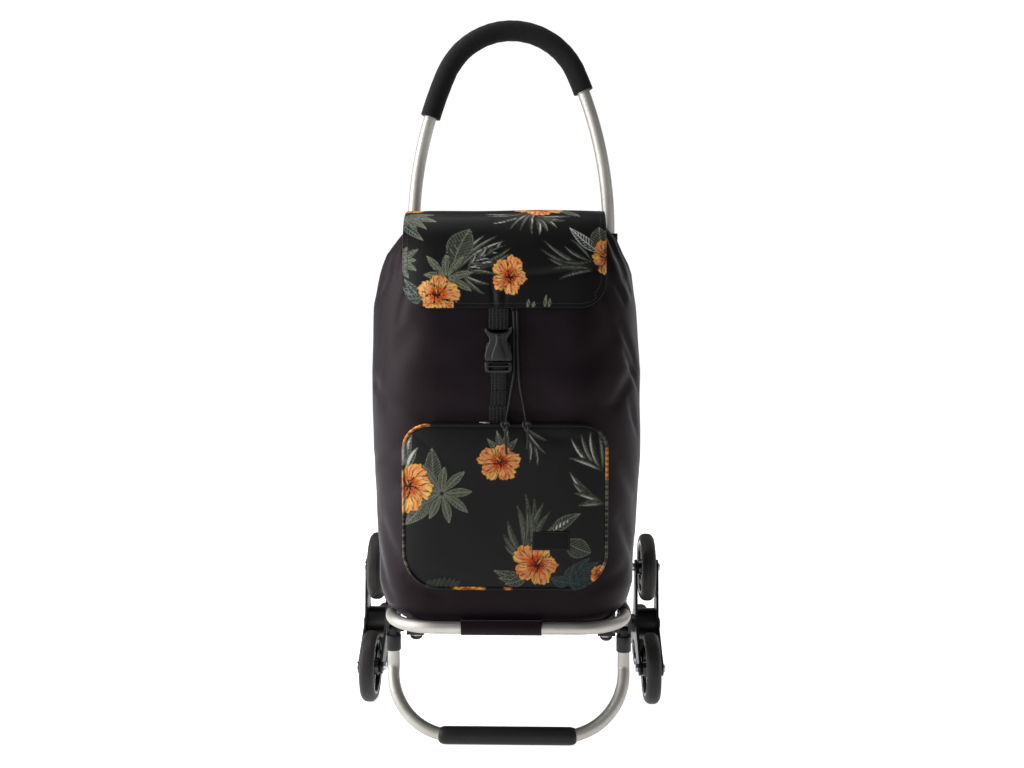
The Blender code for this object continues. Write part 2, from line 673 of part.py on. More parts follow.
def make_flap(root, print_fabric, webbing, plastic):
    """The lid: hinged along the bag's back edge, over the mouth and down the front, with its half buckle."""
    pivot = add_pivot("flap_axis", (0, *FLAP_HINGE), root)
    path = [Vector((0, y, z)) for y, z in FLAP_LINE]
    outside = [p + FLAP_THICK / 2 * n for p, n in with_normals(path)]
    inside = [p - FLAP_THICK / 2 * n for p, n in with_normals(path)]
    outline = [(p.y, p.z) for p in outside + inside[::-1]]
    finish_mesh("flap", prism_mesh(outline, BAG_X - FLAP_HALF, BAG_X + FLAP_HALF), print_fabric, pivot)
    low, high = (STRAP_X - 0.0125, -0.2142, 0.5512), (STRAP_X + 0.0125, -0.2127, 0.5765)
    finish_mesh("upper_strap", box_mesh(low, high), webbing, pivot)
    low, high = (STRAP_X - 0.0175, -0.2275, 0.5113), (STRAP_X + 0.0175, -0.2157, 0.5509)
    socket = finish_mesh("buckle_socket", box_mesh(low, high), plastic, pivot)
    cavity = box_mesh((STRAP_X - 0.0150, -0.2252, 0.500), (STRAP_X + 0.0150, -0.2100, 0.5430))
    carve(socket, [cavity], "DIFFERENCE")


def with_normals(path):
    """Each point of a path in the YZ plane, with the outward normal of its bend."""
    pairs = []
    for i, point in enumerate(path):
        run = path[min(i + 1, len(path) - 1)] - path[max(i - 1, 0)]
        pairs.append((point, Vector((0, run.z, -run.y)).normalized()))
    return pairs


def make_front_straps(root, webbing, plastic):
    low, high = (STRAP_X - 0.0100, -0.2192, 0.4315), (STRAP_X + 0.0100, -0.2177, 0.4958)
    finish_mesh("lower_strap", box_mesh(low, high), webbing, root)
    low, high = (STRAP_X - 0.0175, -0.2265, 0.4962), (STRAP_X + 0.0175, -0.2168, 0.5108)
    prongs = finish_mesh("buckle_prongs", box_mesh(low, high), plastic, root)
    window = box_mesh((STRAP_X - 0.0115, -0.24, 0.5000), (STRAP_X + 0.0115, -0.20, 0.5070))
    tongue = box_mesh((STRAP_X - 0.0130, -0.2240, 0.5100), (STRAP_X + 0.0130, -0.2180, 0.5380))
    carve(prongs, [tongue], "UNION")
    carve(prongs, [window], "DIFFERENCE")


def cord_route(points, steps):
    """A smooth curve through the route's points, as evenly stepped points."""
    route = [Vector(p) for p in points]
    ends = [2 * route[0] - route[1]] + route + [2 * route[-1] - route[-2]]
    smooth = []
    for a, b, c, d in zip(ends, ends[1:], ends[2:], ends[3:]):
        for i in range(steps):
            t = i / steps
            smooth.append(
                0.5 * (2 * b + (c - a) * t + (2 * a - 5 * b + 4 * c - d) * t**2 + (3 * b - a - 3 * c + d) * t**3)
            )
    return smooth + [route[-1]]


# The drawstrings' routes, in the uprights' frame, from the flap's hem to each cut end.
DRAWSTRINGS = {
    "drawstring_left": (
        (0.0085, -0.2125, 0.5740), (0.0092, -0.2160, 0.5500), (0.0090, -0.2192, 0.5150),
        (0.0087, -0.2203, 0.4950), (0.0050, -0.2208, 0.4700), (0.0010, -0.2220, 0.4460), (-0.0010, -0.2395, 0.4300),
        (-0.0012, -0.2412, 0.4150), (0.0002, -0.2410, 0.3950),
    ),
    "drawstring_right": (
        (0.0128, -0.2125, 0.5740), (0.0134, -0.2160, 0.5500), (0.0140, -0.2195, 0.5150),
        (0.0165, -0.2205, 0.4800), (0.0220, -0.2215, 0.4500), (0.0255, -0.2395, 0.4300),
        (0.0270, -0.2412, 0.4150), (0.0262, -0.2410, 0.4020),
    ),
}


def make_drawstrings(root, cord):
    for name, points in DRAWSTRINGS.items():
        curve = bpy.data.curves.new(name, "CURVE")
        curve.dimensions = "3D"
        curve.bevel_depth = CORD_RADIUS
        curve.bevel_resolution = 2
        curve.use_fill_caps = True
        route = cord_route(points, 3)
        spline = curve.splines.new("POLY")
        spline.points.add(len(route) - 1)
        for target, point in zip(spline.points, route):
            target.co = (*point, 1)
        curve.materials.append(cord)
        place_mesh(name, curve, root)


def main():
    start_empty_scene()
    aluminium = make_material("satin anodised aluminium", (0.62, 0.61, 0.59), 0.32, 1.0)
    steel = make_material("zinc plated steel", (0.50, 0.50, 0.50), 0.35, 1.0)
    plastic = make_material("black nylon", (0.012, 0.012, 0.013), 0.45)
    rubber = make_material("black rubber", (0.018, 0.017, 0.017), 0.70)
    foam = make_material("foam grip", (0.016, 0.016, 0.018), 0.85)
    satin = make_material("black polyester", (0.020, 0.016, 0.020), 0.60)
    printed = make_material("printed polyester", (0.030, 0.027, 0.028), 0.60)
    webbing = make_material("polypropylene webbing", (0.014, 0.014, 0.014), 0.75)
    board = make_material("fibre board", (0.10, 0.08, 0.06), 0.80)

    root = add_pivot("trolley", (0, 0, 0))
    root.location.y = UPRIGHT_Y
    make_uprights(root, aluminium, plastic)
    make_rear_brackets(root, plastic)
    make_axle(root, steel, plastic)
    make_crossbar(root, aluminium)
    make_fold_sockets(root, plastic, steel)
    make_lock_buttons(root, plastic)
    make_handle(root, aluminium, foam, plastic)
    platform = make_platform(root, aluminium, plastic, satin, board)
    make_stand_brackets(platform, plastic)
    make_stand(platform, aluminium, plastic, rubber)
    make_stair_climbers(root, plastic, steel, rubber)
    make_bag(root, satin)
    make_pocket(root, printed)
    make_front_straps(root, webbing, plastic)
    make_flap(root, printed, webbing, plastic)
    make_drawstrings(root, webbing)


main()
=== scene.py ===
# %% [markdown]
# # A stair-climbing shopping trolley with a flap bag
#
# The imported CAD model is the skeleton: it says where each tube, joint and wheel is, and which
# body each piece turns with. This lesson dresses it. Metal and plastic parts are rebuilt with
# round edges and smooth bends, and the bag is sewn from cloth shells with folds, piping and print.

# %% Load the skeleton
import json
import math

import bpy
import numpy as np
from mathutils import Matrix, Vector

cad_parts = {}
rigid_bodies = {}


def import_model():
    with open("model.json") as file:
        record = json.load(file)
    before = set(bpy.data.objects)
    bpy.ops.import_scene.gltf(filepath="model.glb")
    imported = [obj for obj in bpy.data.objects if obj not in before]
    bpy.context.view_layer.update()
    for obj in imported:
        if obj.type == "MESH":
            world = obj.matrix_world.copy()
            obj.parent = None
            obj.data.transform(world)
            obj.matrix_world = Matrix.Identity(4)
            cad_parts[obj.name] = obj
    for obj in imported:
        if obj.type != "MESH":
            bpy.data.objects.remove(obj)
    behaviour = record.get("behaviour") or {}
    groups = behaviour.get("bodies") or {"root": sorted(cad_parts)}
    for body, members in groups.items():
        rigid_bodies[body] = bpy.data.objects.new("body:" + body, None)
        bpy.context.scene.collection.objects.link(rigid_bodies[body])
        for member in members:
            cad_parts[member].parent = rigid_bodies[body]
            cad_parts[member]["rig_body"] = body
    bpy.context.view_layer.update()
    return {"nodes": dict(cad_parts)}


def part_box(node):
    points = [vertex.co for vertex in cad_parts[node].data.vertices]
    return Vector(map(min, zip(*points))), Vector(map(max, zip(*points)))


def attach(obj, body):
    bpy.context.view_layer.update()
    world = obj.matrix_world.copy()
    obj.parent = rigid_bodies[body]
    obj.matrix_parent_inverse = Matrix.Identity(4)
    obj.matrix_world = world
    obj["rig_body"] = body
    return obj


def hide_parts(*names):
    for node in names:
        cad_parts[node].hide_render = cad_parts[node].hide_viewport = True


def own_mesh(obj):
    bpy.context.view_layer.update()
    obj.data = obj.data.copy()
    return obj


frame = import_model()
upright_low, upright_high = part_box("upright_left")
SHIFT = (upright_low[1] + upright_high[1]) / 2
print(f"{len(frame['nodes'])} CAD nodes, uprights at y = {SHIFT * 1000:.1f} mm")

# %% [markdown]
# ## Camera, lights and floor
#
# A studio: a white floor that runs into a white backdrop, one large soft light from the left
# front, a weaker one from the right and one from above. The dark cloth then shows its folds on
# the left and falls to near black on the right. One picture of a room could light it all, but a
# few named lamps can be changed one at a time.

# %% Camera
CAMERA_PLACE = (0.0378, -1.5139, 0.5715)
CAMERA_TARGET = (0.0015, 0.0333, 0.467)
CAMERA_LENS = 36.87

camera = bpy.data.objects.new("camera", bpy.data.cameras.new("camera"))
bpy.context.collection.objects.link(camera)
camera.data.lens = CAMERA_LENS
camera.location = CAMERA_PLACE
look = Vector(CAMERA_TARGET) - Vector(CAMERA_PLACE)
camera.rotation_euler = look.to_track_quat("-Z", "Y").to_euler()
bpy.context.scene.camera = camera
bpy.context.scene.view_settings.view_transform = "Standard"

# %% Colours and a helper that adds one shader node


def srgb(code):
    """The linear colour of a hex code such as #4B5044."""
    values = [int(code[i : i + 2], 16) / 255 for i in (1, 3, 5)]
    return tuple(v / 12.92 if v <= 0.04045 else ((v + 0.055) / 1.055) ** 2.4 for v in values)


def add_node(tree, kind, inputs=None, **settings):
    """Adds a node. An input is a value, or the (node, output name) that it is linked to."""
    node = tree.nodes.new("ShaderNode" + kind)
    for name, value in settings.items():
        setattr(node, name, value)
    for name, value in (inputs or {}).items():
        if isinstance(value, tuple) and isinstance(value[0], bpy.types.Node):
            tree.links.new(value[0].outputs[value[1]], node.inputs[name])
        else:
            node.inputs[name].default_value = value
    return node


# %% Backdrop and floor
world = bpy.data.worlds.new("studio")
bpy.context.scene.world = world
world.use_nodes = True
world.node_tree.nodes.clear()
BACKDROP = 1.05
ROOM_LIGHT = 0.16
seen = add_node(world.node_tree, "LightPath")
backdrop = add_node(world.node_tree, "Background", {"Color": (1, 1, 1, 1), "Strength": BACKDROP})
room = add_node(world.node_tree, "Background", {"Color": (1, 1, 1, 1), "Strength": ROOM_LIGHT})
mixed = add_node(
    world.node_tree,
    "MixShader",
    {0: (seen, "Is Camera Ray"), 1: (room, "Background"), 2: (backdrop, "Background")},
)
add_node(world.node_tree, "OutputWorld", {"Surface": (mixed, "Shader")})

FLOOR_RADIUS = 14
PAPER_GLOW = 0.88
bpy.ops.mesh.primitive_circle_add(vertices=96, radius=FLOOR_RADIUS, fill_type="NGON")
floor = bpy.context.object
floor.name = "floor"
paper = bpy.data.materials.new("white studio paper")
paper.use_nodes = True
shader = paper.node_tree.nodes["Principled BSDF"]
shader.inputs["Base Color"].default_value = (*srgb("#F6F6F6"), 1)
shader.inputs["Roughness"].default_value = 0.9
shader.inputs["Specular IOR Level"].default_value = 0.1
shader.inputs["Emission Color"].default_value = (1, 1, 1, 1)
shader.inputs["Emission Strength"].default_value = PAPER_GLOW
floor.data.materials.append(paper)
# The paper is seen and reflected, but throws no light up, so the undersides stay dark.
floor.visible_diffuse = False

# %% Lights


def add_light(name, place, target, size, power):
    """A soft rectangular lamp that faces a target. Its power is in watts."""
    lamp = bpy.data.objects.new(name, bpy.data.lights.new(name, "AREA"))
    bpy.context.collection.objects.link(lamp)
    lamp.data.shape = "RECTANGLE"
    lamp.data.size, lamp.data.size_y = size
    lamp.data.energy = power
    lamp.location = place
    lamp.rotation_euler = (Vector(target) - Vector(place)).to_track_quat("-Z", "Y").to_euler()


MIDDLE = (0, 0, 0.45)
add_light("key", (-2.2, -0.60, 1.25), MIDDLE, (2.2, 2.2), 92)
add_light("front", (-0.9, -2.7, 0.35), MIDDLE, (1.7, 1.2), 9)
add_light("fill", (2.2, -0.7, 0.9), MIDDLE, (0.9, 1.6), 5)
add_light("overhead", (-0.7, 0.2, 2.6), MIDDLE, (1.4, 1.2), 22)
add_light("rim", (1.6, 1.6, 1.2), MIDDLE, (1.0, 1.6), 8)
print(len(bpy.data.lights), "lamps")

# %% [markdown]
# ## Modelling helpers
#
# Every piece starts from a primitive and is shaped with edit-mode operators, then settled: its
# place is written into its mesh, its normals are turned outwards and it gets its body and
# finish. Pieces are modelled about the uprights' plane, so settling also moves them by SHIFT.
# Each could be written as a list of points instead, but operators do what a hand would do, and
# a bend or a bevel can be changed by one number.

# %% Selecting, editing and settling


def only(item):
    """Selects one piece and nothing else."""
    bpy.ops.object.select_all(action="DESELECT")
    item.select_set(True)
    bpy.context.view_layer.objects.active = item


def begin_edit(item):
    """Opens a piece in edit mode with everything selected."""
    only(item)
    bpy.ops.object.mode_set(mode="EDIT")
    bpy.ops.mesh.select_all(action="SELECT")


def end_edit(item, merge=1e-5):
    """Merges doubles, turns the faces outwards and leaves edit mode."""
    bpy.ops.mesh.select_all(action="SELECT")
    if merge:
        bpy.ops.mesh.remove_doubles(threshold=merge)
    bpy.ops.mesh.normals_make_consistent(inside=False)
    bpy.ops.object.mode_set(mode="OBJECT")
    return item


def modify(item, kind, **settings):
    """Adds one modifier and applies it."""
    modifier = item.modifiers.new(kind.title(), kind)
    for name, value in settings.items():
        setattr(modifier, name, value)
    only(item)
    bpy.ops.object.modifier_apply(modifier=modifier.name)
    return item


def bevel(item, width, segments=2, degrees=50):
    """Rounds the edges that are sharper than an angle."""
    return modify(
        item, "BEVEL", width=width, segments=segments, limit_method="ANGLE",
        angle_limit=math.radians(degrees),
    )


def points_of(item):
    """The places of a mesh's points, as rows of three numbers."""
    flat = np.empty(len(item.data.vertices) * 3)
    item.data.vertices.foreach_get("co", flat)
    return flat.reshape(-1, 3)


def set_points(item, points):
    """Moves a mesh's points."""
    item.data.vertices.foreach_set("co", np.asarray(points, float).ravel())
    item.data.update()


def flip(item):
    """Turns every face round."""
    begin_edit(item)
    bpy.ops.mesh.flip_normals()
    bpy.ops.object.mode_set(mode="OBJECT")


def join(first, *others):
    """Makes one mesh of several, under the first one's name."""
    bpy.ops.object.select_all(action="DESELECT")
    for item in (first, *others):
        item.select_set(True)
    bpy.context.view_layer.objects.active = first
    bpy.ops.object.join()
    return first


def settle(item, name, body, finish, replaced=(), shift=True, smooth=35):
    """Names a finished piece, fixes its place in its mesh and gives it a body and finish."""
    item.name = item.data.name = name
    only(item)
    if shift:
        item.location.y += SHIFT
    bpy.ops.object.transform_apply(location=True, rotation=True, scale=True)
    if smooth:
        bpy.ops.object.shade_smooth_by_angle(angle=math.radians(smooth))
    item.data.materials.clear()
    item.data.materials.append(finish)
    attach(item, body)
    if replaced:
        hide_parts(*replaced)
    return item


# %% Bent tubes


def bent_tube(start, radius, runs, sides=28):
    """A round tube: a ring that is extruded along straight runs and spun round bends."""
    bpy.ops.mesh.primitive_circle_add(vertices=sides, radius=radius)
    item = bpy.context.object
    first = runs[0]
    lie = Vector(first[1]).to_track_quat("Z", "Y").to_matrix().to_4x4()
    item.data.transform(Matrix.Translation(start) @ lie)
    begin_edit(item)
    for kind, *how in runs:
        if kind == "go":
            bpy.ops.mesh.extrude_region_move(TRANSFORM_OT_translate={"value": how[0]})
        else:
            centre, axis, degrees, steps = how
            bpy.ops.mesh.spin(steps=steps, angle=-math.radians(degrees), center=centre, axis=axis)
    bpy.ops.mesh.select_all(action="SELECT")
    bpy.ops.mesh.remove_doubles(threshold=1e-6)
    bpy.ops.mesh.fill_holes(sides=0)
    return end_edit(item)


# %% Turned shapes and plates


def turned(profile, centre, axis="X", segments=64):
    """A closed profile of (along, radius) points, spun a full turn about an axis through centre."""
    bpy.ops.mesh.primitive_circle_add(vertices=len(profile), radius=1)
    item = bpy.context.object
    along = {
        "X": lambda a, r: (a, r, 0),
        "Y": lambda a, r: (0, a, r),
        "Z": lambda a, r: (r, 0, a),
    }
    set_points(item, [along[axis](a, r) for a, r in profile])
    begin_edit(item)
    spin_axis = tuple(float(axis == letter) for letter in "XYZ")
    bpy.ops.mesh.spin(steps=segments, angle=2 * math.pi, center=(0, 0, 0), axis=spin_axis)
    end_edit(item, 1e-6)
    item.data.transform(Matrix.Translation(centre))
    return item


def rectangle(x0, x1, z0, z1):
    """The corners of a rectangle, in order."""
    return [(x0, z0), (x1, z0), (x1, z1), (x0, z1)]


def plate(outline, near, far, axis="Y"):
    """An outline of (a, b) points filled and extruded between two places along an axis."""
    bpy.ops.mesh.primitive_circle_add(vertices=len(outline), radius=1, fill_type="NGON")
    item = bpy.context.object
    spot = {
        "X": lambda a, b: (near, a, b),
        "Y": lambda a, b: (a, near, b),
        "Z": lambda a, b: (a, b, near),
    }
    set_points(item, [spot[axis](a, b) for a, b in outline])
    begin_edit(item)
    go = [(far - near) * float(axis == letter) for letter in "XYZ"]
    bpy.ops.mesh.extrude_region_move(TRANSFORM_OT_translate={"value": go})
    return end_edit(item)


# %% [markdown]
# ## Finishes
#
# Each finish is one material, named for what the real surface is. The metal is drawn and satin
# anodised, the plastic is nylon with a fine spark-eroded texture, the foam and rubber are matt.
# Picture textures could give the grain, but noise in the piece's own space needs no file and has
# no seams, and its size is set in metres.

# %% Metals, plastics and rubbers


def new_finish(name, colour, roughness, metallic=0.0, specular=0.5, **sockets):
    """A material with its Principled shader set, and an Object coordinate to build on."""
    finish = bpy.data.materials.new(name)
    finish.use_nodes = True
    tree = finish.node_tree
    surface = tree.nodes["Principled BSDF"]
    surface.inputs["Base Color"].default_value = (*srgb(colour), 1)
    surface.inputs["Roughness"].default_value = roughness
    surface.inputs["Metallic"].default_value = metallic
    surface.inputs["Specular IOR Level"].default_value = specular
    for socket, value in sockets.items():
        surface.inputs[socket.replace("_", " ")].default_value = value
    place = add_node(tree, "TexCoord")
    return finish, tree, surface, place


PATCHES_PER_METRE = 28.0


def speckle(
    finish_parts, grain, depth, colours=None, roughness=None, detail=3.0, stretch=(1, 1, 1)
):
    """Adds a grain of a real size and depth in metres, and a spread of colour and roughness."""
    finish, tree, surface, place = finish_parts
    spread = add_node(tree, "Mapping", {"Vector": (place, "Object"), "Scale": stretch})
    noise = add_node(
        tree, "TexNoise", {"Vector": (spread, "Vector"), "Scale": 1 / grain, "Detail": detail}
    )
    bump = add_node(tree, "Bump", {"Height": (noise, "Fac"), "Distance": depth, "Strength": 0.6})
    tree.links.new(bump.outputs["Normal"], surface.inputs["Normal"])
    broad = add_node(
        tree, "TexNoise", {"Vector": (place, "Object"), "Scale": PATCHES_PER_METRE, "Detail": 4.0}
    )
    if colours:
        low, high = (srgb(c) for c in colours)
        blend = add_node(tree, "ValToRGB", {"Fac": (broad, "Fac")})
        for stop, position, colour in zip(blend.color_ramp.elements, (0.3, 0.7), (low, high)):
            stop.position, stop.color = position, (*colour, 1)
        tree.links.new(blend.outputs["Color"], surface.inputs["Base Color"])
    if roughness:
        levels = add_node(
            tree,
            "MapRange",
            {"Value": (noise, "Fac"), "To Min": roughness[0], "To Max": roughness[1]},
        )
        tree.links.new(levels.outputs["Result"], surface.inputs["Roughness"])
    return finish


# Drawn aluminium tube, satin anodised: a soft, slightly warm silver with a broad highlight.
ALUMINIUM = speckle(
    new_finish("satin anodised aluminium", "#A6A39D", 0.50, 1.0),
    0.0006, 0.00004, ("#A09D97", "#ACA9A4"), (0.46, 0.56), stretch=(1, 1, 0.25),
)
# Zinc-plated steel screws and pins: cooler and patchier than the tube.
ZINC = speckle(
    new_finish("zinc plated steel", "#A9ABAD", 0.3, 1.0),
    0.0012, 0.00004, ("#9A9C9F", "#B6B8B9"), (0.22, 0.42),
)
# Glass-filled nylon, injection moulded against a spark-eroded tool: black with a fine matt grain.
NYLON = speckle(
    new_finish("moulded black nylon", "#101011", 0.38, specular=0.30),
    0.0005, 0.00006, ("#0C0C0D", "#131314"), (0.30, 0.46),
)
# The wheel hubs are the same nylon from a polished tool, so they catch sharper lights.
GLOSSY_NYLON = speckle(
    new_finish("polished black nylon", "#141415", 0.2),
    0.004, 0.00003, ("#0D0D0E", "#131314"), (0.16, 0.28),
)
# Closed-cell foam sleeve: no gloss, small pores that show as a soft grain.
FOAM = speckle(
    new_finish(
        "closed-cell foam", "#171717", 0.85, specular=0.2, Sheen_Weight=0.04, Sheen_Roughness=0.5
    ),
    0.0011, 0.00022, ("#101011", "#171718"), (0.78, 0.95), detail=5.0,
)
# Tyre rubber: dull, a little brown, dusty where it has rolled.
TYRE = speckle(
    new_finish("tyre rubber", "#1E1B1A", 0.55, specular=0.45),
    0.0009, 0.00008, ("#191716", "#262220"), (0.45, 0.65),
)
# The foot's rubber is moulded smooth, so it is a little blacker and shinier than the tyres.
FOOT = speckle(
    new_finish("smooth black rubber", "#161515", 0.5, specular=0.25),
    0.0008, 0.00006, ("#121212", "#1A1919"), (0.42, 0.56),
)
# Pressed hardboard: dull brown, with the mottle of its fibres.
BOARD = speckle(
    new_finish("hardboard", "#4A3F33", 0.8), 0.0015, 0.0001, ("#41372C", "#54483A"), (0.72, 0.9)
)

# %% [markdown]
# ## Cloth finishes
#
# Cloth patterns follow the cloth, so they read each piece's own UV map, which is laid out in
# metres. The bag is a satin-faced polyester, the straps are ribbed polypropylene webbing and the
# drawstrings are a braid. A weave could be modelled thread by thread, but two sets of ridges as
# bump look the same from a metre away. A thread is a fifth of a millimetre wide, too fine to
# show, so the weave is drawn about five times as coarse.

# %% Woven finishes
THREAD = 0.0011
FUZZ_PER_METRE = 900.0


def woven(parts, thread_u, thread_v, depth, tint, ink=None, blend="MULTIPLY"):
    """Two sets of ridges, along and across the cloth, as bump and as a faint change of colour."""
    finish, tree, surface, place = parts
    coords = add_node(tree, "UVMap", uv_map="cloth")
    split = add_node(tree, "SeparateXYZ", {"Vector": (coords, "UV")})
    ridges = []
    for axis, pitch in (("X", thread_u), ("Y", thread_v)):
        turn = add_node(
            tree, "Math", {0: (split, axis), 1: 2 * math.pi / pitch}, operation="MULTIPLY"
        )
        ridges.append(add_node(tree, "Math", {0: (turn, "Value")}, operation="SINE"))
    weave = add_node(
        tree, "Math", {0: (ridges[0], "Value"), 1: (ridges[1], "Value")}, operation=blend
    )
    noise = add_node(
        tree, "TexNoise", {"Vector": (place, "Object"), "Scale": FUZZ_PER_METRE, "Detail": 2.0}
    )
    height = add_node(
        tree, "Math", {0: (weave, "Value"), 1: (noise, "Fac")}, operation="ADD"
    )
    bump = add_node(
        tree, "Bump", {"Height": (height, "Value"), "Distance": depth, "Strength": 0.5}
    )
    tree.links.new(bump.outputs["Normal"], surface.inputs["Normal"])
    shade = add_node(
        tree,
        "MapRange",
        {"Value": (weave, "Value"), "From Min": -1.0, "To Min": 1 - tint, "To Max": 1 + tint},
    )
    if ink is None:
        ink = add_node(tree, "RGB"), "Color"
        ink[0].outputs[0].default_value = surface.inputs["Base Color"].default_value
    lit = add_node(tree, "VectorMath", {0: ink, "Scale": (shade, "Result")}, operation="SCALE")
    tree.links.new(lit.outputs["Vector"], surface.inputs["Base Color"])
    return finish


# Satin-faced polyester: aubergine black, with the broad soft sheen of long floats.
SATIN = woven(
    new_finish(
        "satin polyester", "#140F12", 0.46, specular=0.11, Sheen_Weight=0.24, Sheen_Roughness=0.40,
        Specular_Tint=(*srgb("#FFE6F0"), 1),
        Sheen_Tint=(*srgb("#8E8494"), 1),
    ),
    THREAD, THREAD, 0.00005, 0.10,
)
# Plain weave lining: even, dull and a little lighter than the satin.
LINING = woven(
    new_finish("plain weave lining", "#1E1D1F", 0.75, specular=0.3), 0.0014, 0.0014, 0.00006, 0.12
)
# Polypropylene webbing: ribs a few millimetres apart that catch the light in rows.
WEBBING = woven(
    new_finish("ribbed polypropylene webbing", "#111112", 0.6, specular=0.2), 0.0048, 0.0030,
    0.00035, 0.30, blend="ADD"
)
# Braided cord: a fine cross pattern, matt black.
CORD = woven(
    new_finish("braided polyester cord", "#111112", 0.6, specular=0.3), 0.0022, 0.0022, 0.0001, 0.2
)
# Sewing thread: each stitch a shade lighter than the cloth, so that the seams show.
THREAD_FINISH = speckle(
    new_finish("black sewing thread", "#222024", 0.5), 0.0006, 0.00004, ("#1C1A1E", "#2C2A2E"),
    (0.42, 0.6)
)
# Woven label: the blackest and smoothest of the cloths.
LABEL = woven(
    new_finish("woven satin label", "#060607", 0.45, specular=0.10), 0.0012, 0.0008, 0.00003, 0.12
)

# Printed satin: the same cloth as the bag, with its colour read from the laid inks.
printed_parts = new_finish("printed satin polyester", "#1E1C1D", 0.45, specular=0.13)
ink = add_node(printed_parts[1], "VertexColor", layer_name="print")
PRINTED = woven(printed_parts, THREAD, THREAD, 0.00004, 0.06, (ink, "Color"))
print(len(bpy.data.materials), "finishes")

# %% [markdown]
# ## The tube frame
#
# Three loops of drawn tube and two uprights carry everything. A tube bender feeds a straight
# tube round a die, so each loop is drawn the same way: a ring, extruded for the straight runs
# and spun about the bend's centre for the bends. A curve with a round bevel would be quicker to
# write, but the spun ring gives true arcs and rings of faces where they are wanted.

# %% Handle loop
UPRIGHT_X = 0.1425
TUBE_RADIUS = 0.009
FLARE_RADIUS = 0.560
FLARE_ANGLE = 24.0
ARCH_RADIUS = 0.103
FLARE_START_Z = 0.690
flare_x = UPRIGHT_X - FLARE_RADIUS
arch_z = FLARE_START_Z + (FLARE_RADIUS - ARCH_RADIUS) * math.sin(math.radians(FLARE_ANGLE))
ROUND_Y = (0, 1, 0)

handle_start = (-UPRIGHT_X, 0, 0.648)
handle_tube = bent_tube(
    handle_start,
    TUBE_RADIUS,
    [
        ("go", (0, 0, FLARE_START_Z - handle_start[2])),
        ("spin", (-flare_x, 0, FLARE_START_Z), ROUND_Y, FLARE_ANGLE, 16),
        ("spin", (0, 0, arch_z), ROUND_Y, 180 - 2 * FLARE_ANGLE, 48),
        ("spin", (flare_x, 0, FLARE_START_Z), ROUND_Y, FLARE_ANGLE, 16),
        ("go", (0, 0, handle_start[2] - FLARE_START_Z)),
    ],
)
settle(handle_tube, "handle_tube", "handle", ALUMINIUM, ["handle_loop"])
print("handle", len(handle_tube.data.polygons), "faces")

# %% Foam grip on the arch
FOAM_RADIUS = 0.0145
FOAM_ENDS_Z = (0.856, 0.892)
left_turn, right_turn = (
    math.degrees(math.asin((z - FLARE_START_Z) / FLARE_RADIUS)) for z in FOAM_ENDS_Z
)
grip_start = (
    -flare_x - FLARE_RADIUS * math.cos(math.radians(left_turn)), 0, FOAM_ENDS_Z[0]
)
way_up = (math.sin(math.radians(left_turn)), 0, math.cos(math.radians(left_turn)))
grip_bends = [
    ("spin", (-flare_x, 0, FLARE_START_Z), ROUND_Y, FLARE_ANGLE - left_turn, 12),
    ("spin", (0, 0, arch_z), ROUND_Y, 180 - 2 * FLARE_ANGLE, 64),
    ("spin", (flare_x, 0, FLARE_START_Z), ROUND_Y, FLARE_ANGLE - right_turn, 6),
]
grip = bent_tube(
    grip_start, FOAM_RADIUS, [("go", tuple(0.0004 * w for w in way_up))] + grip_bends, 36
)
bevel(grip, 0.0026, 4)
points = points_of(grip)
squeeze = 0.00018 * np.sin(points[:, 0] * 410 + 3 * np.sin(points[:, 2] * 90))
middle = np.array([0, 0, arch_z])
away = points - middle
away /= np.linalg.norm(away, axis=1, keepdims=True)
set_points(grip, points + away * squeeze[:, None])
settle(grip, "handle_grip_foam", "handle", FOAM, ["foam_grip"])
print("grip", round(2000 * FOAM_RADIUS), "mm thick")

# %% Uprights, cross-bar and axle
BORE_RADIUS = 0.0075
for side, sign in (("left", -1), ("right", 1)):
    low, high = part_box(f"upright_{side}")
    wall = [
        (low.z, TUBE_RADIUS), (high.z, TUBE_RADIUS), (high.z, BORE_RADIUS), (low.z, BORE_RADIUS)
    ]
    tube = turned(wall, (sign * UPRIGHT_X, 0, 0), "Z", 40)
    bevel(tube, 0.0004)
    settle(
        tube, f"upright_tube_{side}", "frame", ALUMINIUM, [f"upright_{side}"]
    )

for name, radius, finish, slot in (
    ("rear_crossbar", 0.006, ALUMINIUM, "satin_aluminium"),
    ("axle", 0.005, ZINC, "zinc_steel"),
):
    low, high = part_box(name)
    start = (low.x, (low.y + high.y) / 2 - SHIFT, (low.z + high.z) / 2)
    bar = bent_tube(start, radius, [("go", (high.x - low.x, 0, 0))])
    bevel(bar, 0.0006)
    settle(bar, f"{name}_rod", "frame", finish, [name])
    print(name, round((high.x - low.x) * 1000), "mm long")

# %% Platform loop
RAIL_X = 0.1565
RAIL_RADIUS = 0.008
PLATFORM_Z = 0.168
PLATFORM_FRONT = -0.225
PLATFORM_CORNER = 0.066
rail_end = -0.0605
corner_y = PLATFORM_FRONT + PLATFORM_CORNER
corner_x = RAIL_X - PLATFORM_CORNER
platform_tube = bent_tube(
    (-RAIL_X, rail_end, PLATFORM_Z),
    RAIL_RADIUS,
    [
        ("go", (0, corner_y - rail_end, 0)),
        ("spin", (-corner_x, corner_y, PLATFORM_Z), (0, 0, 1), 90, 20),
        ("go", (2 * corner_x, 0, 0)),
        ("spin", (corner_x, corner_y, PLATFORM_Z), (0, 0, 1), 90, 20),
        ("go", (0, rail_end - corner_y, 0)),
    ],
)
settle(platform_tube, "platform_tube", "platform", ALUMINIUM, ["platform_loop"])
print("platform", round(2000 * RAIL_X), "mm between its rails")

